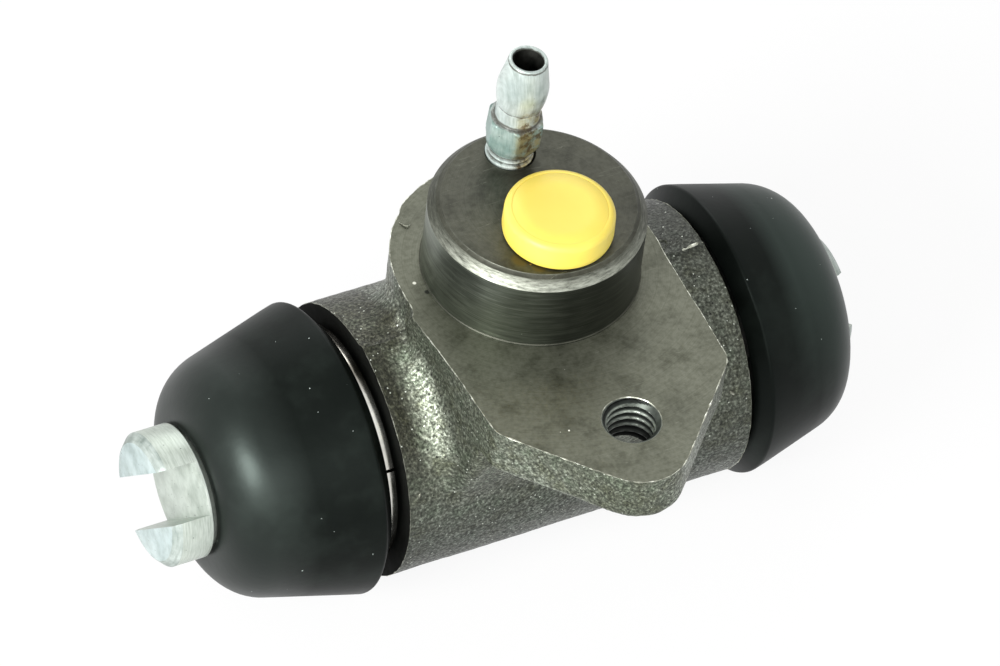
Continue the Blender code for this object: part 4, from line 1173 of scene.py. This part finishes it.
def coil_tree():
    """Geometry Nodes for a compression spring whose end turns lie close together."""
    tree = bpy.data.node_groups.new("Return spring coil", "GeometryNodeTree")
    face = tree.interface
    face.new_socket(name="Geometry", in_out="OUTPUT", socket_type="NodeSocketGeometry")
    for name in ("Start", "Length", "Wire diameter", "Coil diameter", "Turns", "End turns",
                 "Bore height", "From", "To"):
        face.new_socket(name=name, in_out="INPUT", socket_type="NodeSocketFloat")
    face.new_socket(name="Finish", in_out="INPUT", socket_type="NodeSocketMaterial")
    given = tree.nodes.new("NodeGroupInput").outputs
    line = add_node(tree, "GeometryNodeCurvePrimitiveLine").outputs["Curve"]
    dense = add_node(tree, "GeometryNodeResampleCurve", {"Curve": line, "Count": 420}).outputs["Curve"]
    share = add_node(tree, "GeometryNodeSplineParameter").outputs["Factor"]
    share = spread(tree, share, 0.0, 1.0, given["From"], given["To"])
    turns, ends, wire = given["Turns"], given["End turns"], given["Wire diameter"]
    at = times(tree, share, turns)
    closed = times(tree, times(tree, ends, wire), 1.1)
    last = maths(tree, "SUBTRACT", turns, ends)
    free = maths(tree, "SUBTRACT", given["Length"], times(tree, closed, 2.0))
    along = spread(tree, at, 0.0, ends, 0.0, closed)
    along = maths(tree, "ADD", along, spread(tree, at, ends, last, 0.0, free))
    along = maths(tree, "ADD", along, spread(tree, at, last, turns, 0.0, closed))
    angle = times(tree, at, 2 * math.pi)
    radius = times(tree, maths(tree, "SUBTRACT", given["Coil diameter"], wire), 0.5)
    x = maths(tree, "ADD", given["Start"], along)
    y = times(tree, radius, maths(tree, "COSINE", angle))
    z = maths(tree, "ADD", times(tree, radius, maths(tree, "SINE", angle)), given["Bore height"])
    place = add_node(tree, "ShaderNodeCombineXYZ", {"X": x, "Y": y, "Z": z}).outputs[0]
    coil = add_node(tree, "GeometryNodeSetPosition", {"Geometry": dense, "Position": place}).outputs[0]
    half = times(tree, wire, 0.5)
    section = add_node(tree, "GeometryNodeCurvePrimitiveCircle",
                       {"Resolution": 14, "Radius": half}).outputs["Curve"]
    tube = add_node(tree, "GeometryNodeCurveToMesh",
                    {"Curve": coil, "Profile Curve": section, "Fill Caps": True}).outputs["Mesh"]
    real = add_node(tree, "GeometryNodeRealizeInstances", {"Geometry": tube}).outputs[0]
    done = add_node(tree, "GeometryNodeSetMaterial",
                    {"Geometry": real, "Material": given["Finish"]}).outputs[0]
    add_node(tree, "NodeGroupOutput", {"Geometry": done})
    return tree


def coil_spring(sizes, finish):
    """The return spring from Geometry Nodes, in two halves, one for each side."""
    wire, end_turns = sizes.spring_wire / MM, 0.9
    room = CLEARANCE + wire / 2
    seat = {side: PISTON_REACH[side] - PISTON_LENGTH - 0.6 - 2.8 - 0.8 for side in (-1, 1)}
    start = -seat[-1] + room
    length = seat[1] - room - start
    values = {
        "Start": start * MM, "Length": length * MM, "Wire diameter": wire * MM, "Coil diameter": 0.0096,
        "Turns": 6.5, "End turns": end_turns, "Bore height": BORE_Z * MM, "Finish": finish,
    }
    tree = coil_tree()
    for side, reach in ((-1, (0.0, 0.5)), (1, (0.5, 1.0))):
        half = link_object(SIDE_NAME[side] + "_half_of_return_spring", bpy.data.meshes.new("coil"), [])
        nodes = half.modifiers.new("coil", "NODES")
        nodes.node_group = tree
        values["From"], values["To"] = reach
        for item in tree.interface.items_tree:
            if item.in_out == "INPUT":
                nodes[item.identifier] = values[item.name]
        settle(half, sharp=60)
        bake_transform(half)
        if side < 0:
            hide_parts("return_spring")


# ---- Add-on: settings, operators, panel


class WheelCylinderSizes(bpy.types.PropertyGroup):
    """Sizes of the visual details."""
    skin_cell: FloatProperty(name="Casting cell", description="Cell size of the casting's skin mesh",
                             default=0.00052, min=0.0003, max=0.002, unit="LENGTH", precision=5)
    edge_width: FloatProperty(name="Edge width", description="Half width of the flange's rubbed edge",
                              default=0.00011, min=0.00002, max=0.0005, unit="LENGTH", precision=5)
    thread_pitch: FloatProperty(name="Mounting thread pitch", description="Pitch of the tapped M8 hole",
                                default=0.00125, min=0.0005, max=0.002, unit="LENGTH", precision=5)
    spring_wire: FloatProperty(name="Spring wire", description="Wire diameter of the return spring",
                               default=0.0011, min=0.0004, max=0.002, unit="LENGTH", precision=5)


class WheelCylinderFinish(bpy.types.PropertyGroup):
    """Looks of the finishes."""
    cast_grain: FloatProperty(name="Cast grain", description="Size of the sand-cast skin's grains",
                              default=0.00021, min=0.0001, max=0.002, unit="LENGTH", precision=5)
    dust: FloatProperty(name="Dust", description="Share of the rubber that carries a speck of dust",
                        default=0.26, min=0.0, max=1.0, subtype="FACTOR")
    backdrop: FloatVectorProperty(name="Backdrop", description="Colour of the floor and backdrop",
                                  default=(1.0, 1.0, 1.0), size=3, min=0.0, max=1.0, subtype="COLOR")


def settings(context):
    return context.scene.wheel_cylinder_sizes, context.scene.wheel_cylinder_finish


class AddHousing(bpy.types.Operator):
    """Builds the iron casting with its machined faces, tapped hole and rubbed edges"""
    bl_idname = "wheel_cylinder.add_housing"
    bl_label = "Housing"

    def execute(self, context):
        sizes, finish = settings(context)
        raw, bored, cut_edge = raw_cast_iron(finish), bored_iron(), bright_cut()
        flange = faced_iron("faced grey iron, flange", ("#5C5E52", "#67695C", "#717366"), 0,
                            [(-8.69, -28.97, 0.16, "#F4F4EA"), (-9.9, -28.8, 0.09, "#B9BAAE"),
                             (-15.3, 0.5, 0.45, "#24251F"), (-16.2, 2.6, 0.3, "#D9DACD")])
        top = faced_iron("faced grey iron, boss top", ("#3F4037", "#4A4B41", "#56574C"), BOSS_TOP,
                         [(12.7, 4.0, 0.22, "#1C1D18"), (-7.0, -8.6, 1.5, "#51492B"),
                          (-5.2, -10.6, 1.3, "#544A28"),
                          (-6.2, -9.9, 0.16, "#B58A2C")])
        side, chamfer = turned_iron(), worn_chamfer()
        blank = cast_blank(sizes)
        roughen(blank)
        loops = machine_faces(blank)
        cut(blank, hole_tools())
        blank.data.materials.clear()
        for made in (raw, flange, bored, cut_edge, shoulder_shade_iron()):
            blank.data.materials.append(made)
        slot_by_place(blank)
        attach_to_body(blank, "housing")
        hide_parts("housing")
        boss = turned_boss([side, cut_edge, chamfer, top])
        tube = bmesh.new()
        half = [(LAND_RADIUS, BARREL_END - 5.4), (LAND_RADIUS - 1, BARREL_END - 5.4),
                (LAND_RADIUS - 1, BARREL_END - 3.4),
                (LAND_RADIUS, BARREL_END - 3.4), (LAND_RADIUS, BARREL_END - 1),
                (LAND_RADIUS - 1, BARREL_END),
                (BORE_RADIUS + 0.8, BARREL_END), (BORE_RADIUS, BARREL_END - 0.8)]
        turn(tube, [(r, -z) for r, z in half[::-1]] + half, 128, on_bore(1), closed=True)
        spigots = add_piece("turned_spigots", tube, [bored], sharp=30)
        holes = hole_tools()
        drop(holes[0])
        drop(holes[1])
        cut(spigots, holes[2:], sharp=30)
        for piece in (boss, spigots, mounting_thread(sizes, threaded_iron()),
                      bright_edges(loops, sizes, cut_edge, raw)):
            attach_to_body(piece, "housing")
        return {"FINISHED"}


class AddBoots(bpy.types.Operator):
    """Builds the two rubber boots, which stretch between the barrel and the pistons"""
    bl_idname = "wheel_cylinder.add_boots"
    bl_label = "Boots"

    def execute(self, context):
        finish = settings(context)[1]
        rubber = moulded_rubber("moulded EPDM rubber", finish)
        for side in (-1, 1):
            made = boot(side, rubber)
            name = SIDE_NAME[side]
            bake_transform(made)
            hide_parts(name + "_boot")
        return {"FINISHED"}


class AddClampRings(bpy.types.Operator):
    """Builds the two split steel rings that hold the boots"""
    bl_idname = "wheel_cylinder.add_clamp_rings"
    bl_label = "Clamp rings"

    def execute(self, context):
        steel = spring_steel()
        for side in (-1, 1):
            made = clamp_ring(side, steel)
            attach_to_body(made, "housing")
            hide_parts(SIDE_NAME[side] + "_boot_ring")
        return {"FINISHED"}


class AddPistons(bpy.types.Operator):
    """Builds the two slotted pistons"""
    bl_idname = "wheel_cylinder.add_pistons"
    bl_label = "Pistons"

    def execute(self, context):
        skirt = zinc_plate("zinc-plated turned steel, skirt", ("#AEB7AD", "#B9C2B9", "#C4CCC3"))
        rim = zinc_plate("zinc-plated turned steel, chamfer", ("#75827B", "#A3AEA8", "#C9D2CD"))
        end = zinc_plate("zinc-plated turned steel, end", ("#A3B3B2", "#B4C3C2", "#C6D2D1"))
        for side in (-1, 1):
            made = piston(side, [skirt, rim, end])
            name = SIDE_NAME[side] + "_piston"
            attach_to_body(made, name)
            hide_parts(name)
        return {"FINISHED"}


class AddBleedScrew(bpy.types.Operator):
    """Builds the bleed screw with its thread, hexagon and nipple"""
    bl_idname = "wheel_cylinder.add_bleed_screw"
    bl_label = "Bleed screw"

    def execute(self, context):
        plate = zinc_plate("zinc-plated steel, screw", ("#A6B3AF", "#C0CBC7", "#D3DCD8"), stain=0.9)
        hexagon = zinc_plate("zinc-plated steel, hexagon", ("#6F8982", "#8AA39C", "#B5C6C0"), stain=0.85)
        made = bleed_screw([plate, hexagon, bored_iron()])
        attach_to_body(made, "bleed_screw")
        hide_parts("bleed_screw")
        return {"FINISHED"}


class AddPortPlug(bpy.types.Operator):
    """Builds the yellow transport plug"""
    bl_idname = "wheel_cylinder.add_port_plug"
    bl_label = "Port plug"

    def execute(self, context):
        made = transport_plug(yellow_polyethylene())
        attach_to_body(made, "port_plug")
        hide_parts("port_plug")
        return {"FINISHED"}


class AddInnerParts(bpy.types.Operator):
    """Builds the return spring and finishes the cup seals and expanders"""
    bl_idname = "wheel_cylinder.add_inner_parts"
    bl_label = "Inner parts"

    def execute(self, context):
        sizes, finish = settings(context)
        coil_spring(sizes, spring_steel())
        seal = moulded_rubber("moulded seal rubber", finish)
        plate = zinc_plate("zinc-plated pressed steel", ("#B7C0BD", "#CED6D3", "#DDE3E1"))
        for name in ("left", "right"):
            for node, made in ((name + "_cup_seal", seal), (name + "_cup_expander", plate)):
                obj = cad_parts[node]
                obj.data.materials.clear()
                obj.data.materials.append(made)
        return {"FINISHED"}


def soft_light(name, at, size, power):
    """A square softbox that faces the middle of the cylinder."""
    lamp = bpy.data.lights.new(name, "AREA")
    lamp.shape = "SQUARE"
    lamp.size = size
    lamp.energy = power
    obj = bpy.data.objects.new(name, lamp)
    bpy.context.scene.collection.objects.link(obj)
    obj.location = at
    obj.rotation_euler = (Vector(SUBJECT) - obj.location).to_track_quat("-Z", "Y").to_euler()


def seen_white(tree, plain, white):
    """Shows white to the camera, to reflections and through glass, and the plain shader elsewhere."""
    path = add_node(tree, "ShaderNodeLightPath").outputs
    direct = maths(tree, "MAXIMUM", path["Is Camera Ray"], path["Is Glossy Ray"])
    direct = maths(tree, "MAXIMUM", direct, path["Is Transmission Ray"])
    return add_node(tree, "ShaderNodeMixShader", {0: direct, 1: plain, 2: white}).outputs[0]


def pale_floor(finish):
    """A matt pale studio floor that stays near white and keeps a soft shadow."""
    made = bpy.data.materials.new("pale studio floor")
    made.use_nodes = True
    tree = made.node_tree
    tree.nodes.clear()
    colour = (*finish.backdrop, 1)
    matt = add_node(tree, "ShaderNodeBsdfDiffuse", {"Color": colour}).outputs[0]
    glow = add_node(tree, "ShaderNodeEmission", {"Color": colour, "Strength": 1.0}).outputs[0]
    mostly = add_node(tree, "ShaderNodeMixShader", {0: 0.90, 1: matt, 2: glow}).outputs[0]
    surface = seen_white(tree, matt, mostly)
    add_node(tree, "ShaderNodeOutputMaterial", {"Surface": surface})
    return made


def studio_world(finish):
    world = bpy.data.worlds.new("soft studio")
    bpy.context.scene.world = world
    world.use_nodes = True
    tree = world.node_tree
    tree.nodes.clear()
    white = add_node(tree, "ShaderNodeBackground",
                     {"Color": (*finish.backdrop, 1), "Strength": 1.0}).outputs[0]
    dim = add_node(tree, "ShaderNodeBackground", {"Color": (1, 1, 1, 1), "Strength": 0.42}).outputs[0]
    add_node(tree, "ShaderNodeOutputWorld", {"Surface": seen_white(tree, dim, white)})


def photo_camera():
    """The camera fitted to the photograph: a long lens, looking down and a little rolled."""
    azimuth, elevation, roll = (math.radians(a) for a in (32.262, 47.401, 7.817))
    focal = math.exp(9.2833) * 36 / 1000
    forward = Vector((math.sin(azimuth) * math.cos(elevation), math.cos(azimuth) * math.cos(elevation),
                      -math.sin(elevation)))
    right = Vector((math.cos(azimuth), -math.sin(azimuth), 0))
    up = right.cross(forward)
    turned_right = right * math.cos(roll) + up * math.sin(roll)
    turned_up = up * math.cos(roll) - right * math.sin(roll)
    at = (turned_right * -4.067 + turned_up * -9.367 - forward * 1452.15) * MM
    data = bpy.data.cameras.new("photo camera")
    data.lens = focal
    data.sensor_width = 36
    data.clip_start = 0.1
    data.clip_end = 20
    camera = bpy.data.objects.new("photo camera", data)
    bpy.context.scene.collection.objects.link(camera)
    camera.matrix_world = Matrix.Translation(at) @ Matrix(
        (turned_right, turned_up, -forward)).transposed().to_4x4()
    bpy.context.scene.camera = camera


class AddStage(bpy.types.Operator):
    """Sets the floor, the light and the camera"""
    bl_idname = "wheel_cylinder.add_stage"
    bl_label = "Stage"

    def execute(self, context):
        finish = settings(context)[1]
        bm = bmesh.new()
        bmesh.ops.create_grid(bm, x_segments=1, y_segments=1, size=3000)
        bmesh.ops.translate(bm, vec=(0, 0, CAD_BOX[0][2] / MM - 0.05), verts=bm.verts)
        floor = add_piece("studio_floor", bm, [pale_floor(finish)], recalc=False)
        studio_world(finish)
        soft_light("back softbox", (0.25, 0.75, 0.55), 0.6, 2.6)
        soft_light("left softbox", (-0.70, -0.30, 0.42), 0.30, 8.6)
        soft_light("front fill", (-0.35, -0.72, 0.45), 0.6, 2.6)
        photo_camera()
        context.scene.view_settings.view_transform = "Standard"
        return {"FINISHED"}


PIECES = (AddHousing, AddBoots, AddClampRings, AddPistons, AddBleedScrew, AddPortPlug, AddInnerParts,
          AddStage)


class WheelCylinderPanel(bpy.types.Panel):
    """Lists the cylinder's settings and pieces"""
    bl_label = "Wheel Cylinder"
    bl_idname = "VIEW3D_PT_wheel_cylinder"
    bl_space_type = "VIEW_3D"
    bl_region_type = "UI"
    bl_category = "Wheel Cylinder"

    def draw(self, context):
        for group in settings(context):
            box = self.layout.box()
            for name in group.bl_rna.properties.keys():
                if name not in ("rna_type", "name"):
                    box.prop(group, name)
        for operator in PIECES:
            self.layout.operator(operator.bl_idname)


CLASSES = (WheelCylinderSizes, WheelCylinderFinish, *PIECES, WheelCylinderPanel)


def register():
    for item in CLASSES:
        bpy.utils.register_class(item)
    bpy.types.Scene.wheel_cylinder_sizes = PointerProperty(type=WheelCylinderSizes)
    bpy.types.Scene.wheel_cylinder_finish = PointerProperty(type=WheelCylinderFinish)


def unregister():
    del bpy.types.Scene.wheel_cylinder_finish
    del bpy.types.Scene.wheel_cylinder_sizes
    for item in reversed(CLASSES):
        bpy.utils.unregister_class(item)


def main():
    register()
    for piece in PIECES:
        group, name = piece.bl_idname.split(".")
        getattr(getattr(bpy.ops, group), name)()


if __name__ == "__main__":
    main()
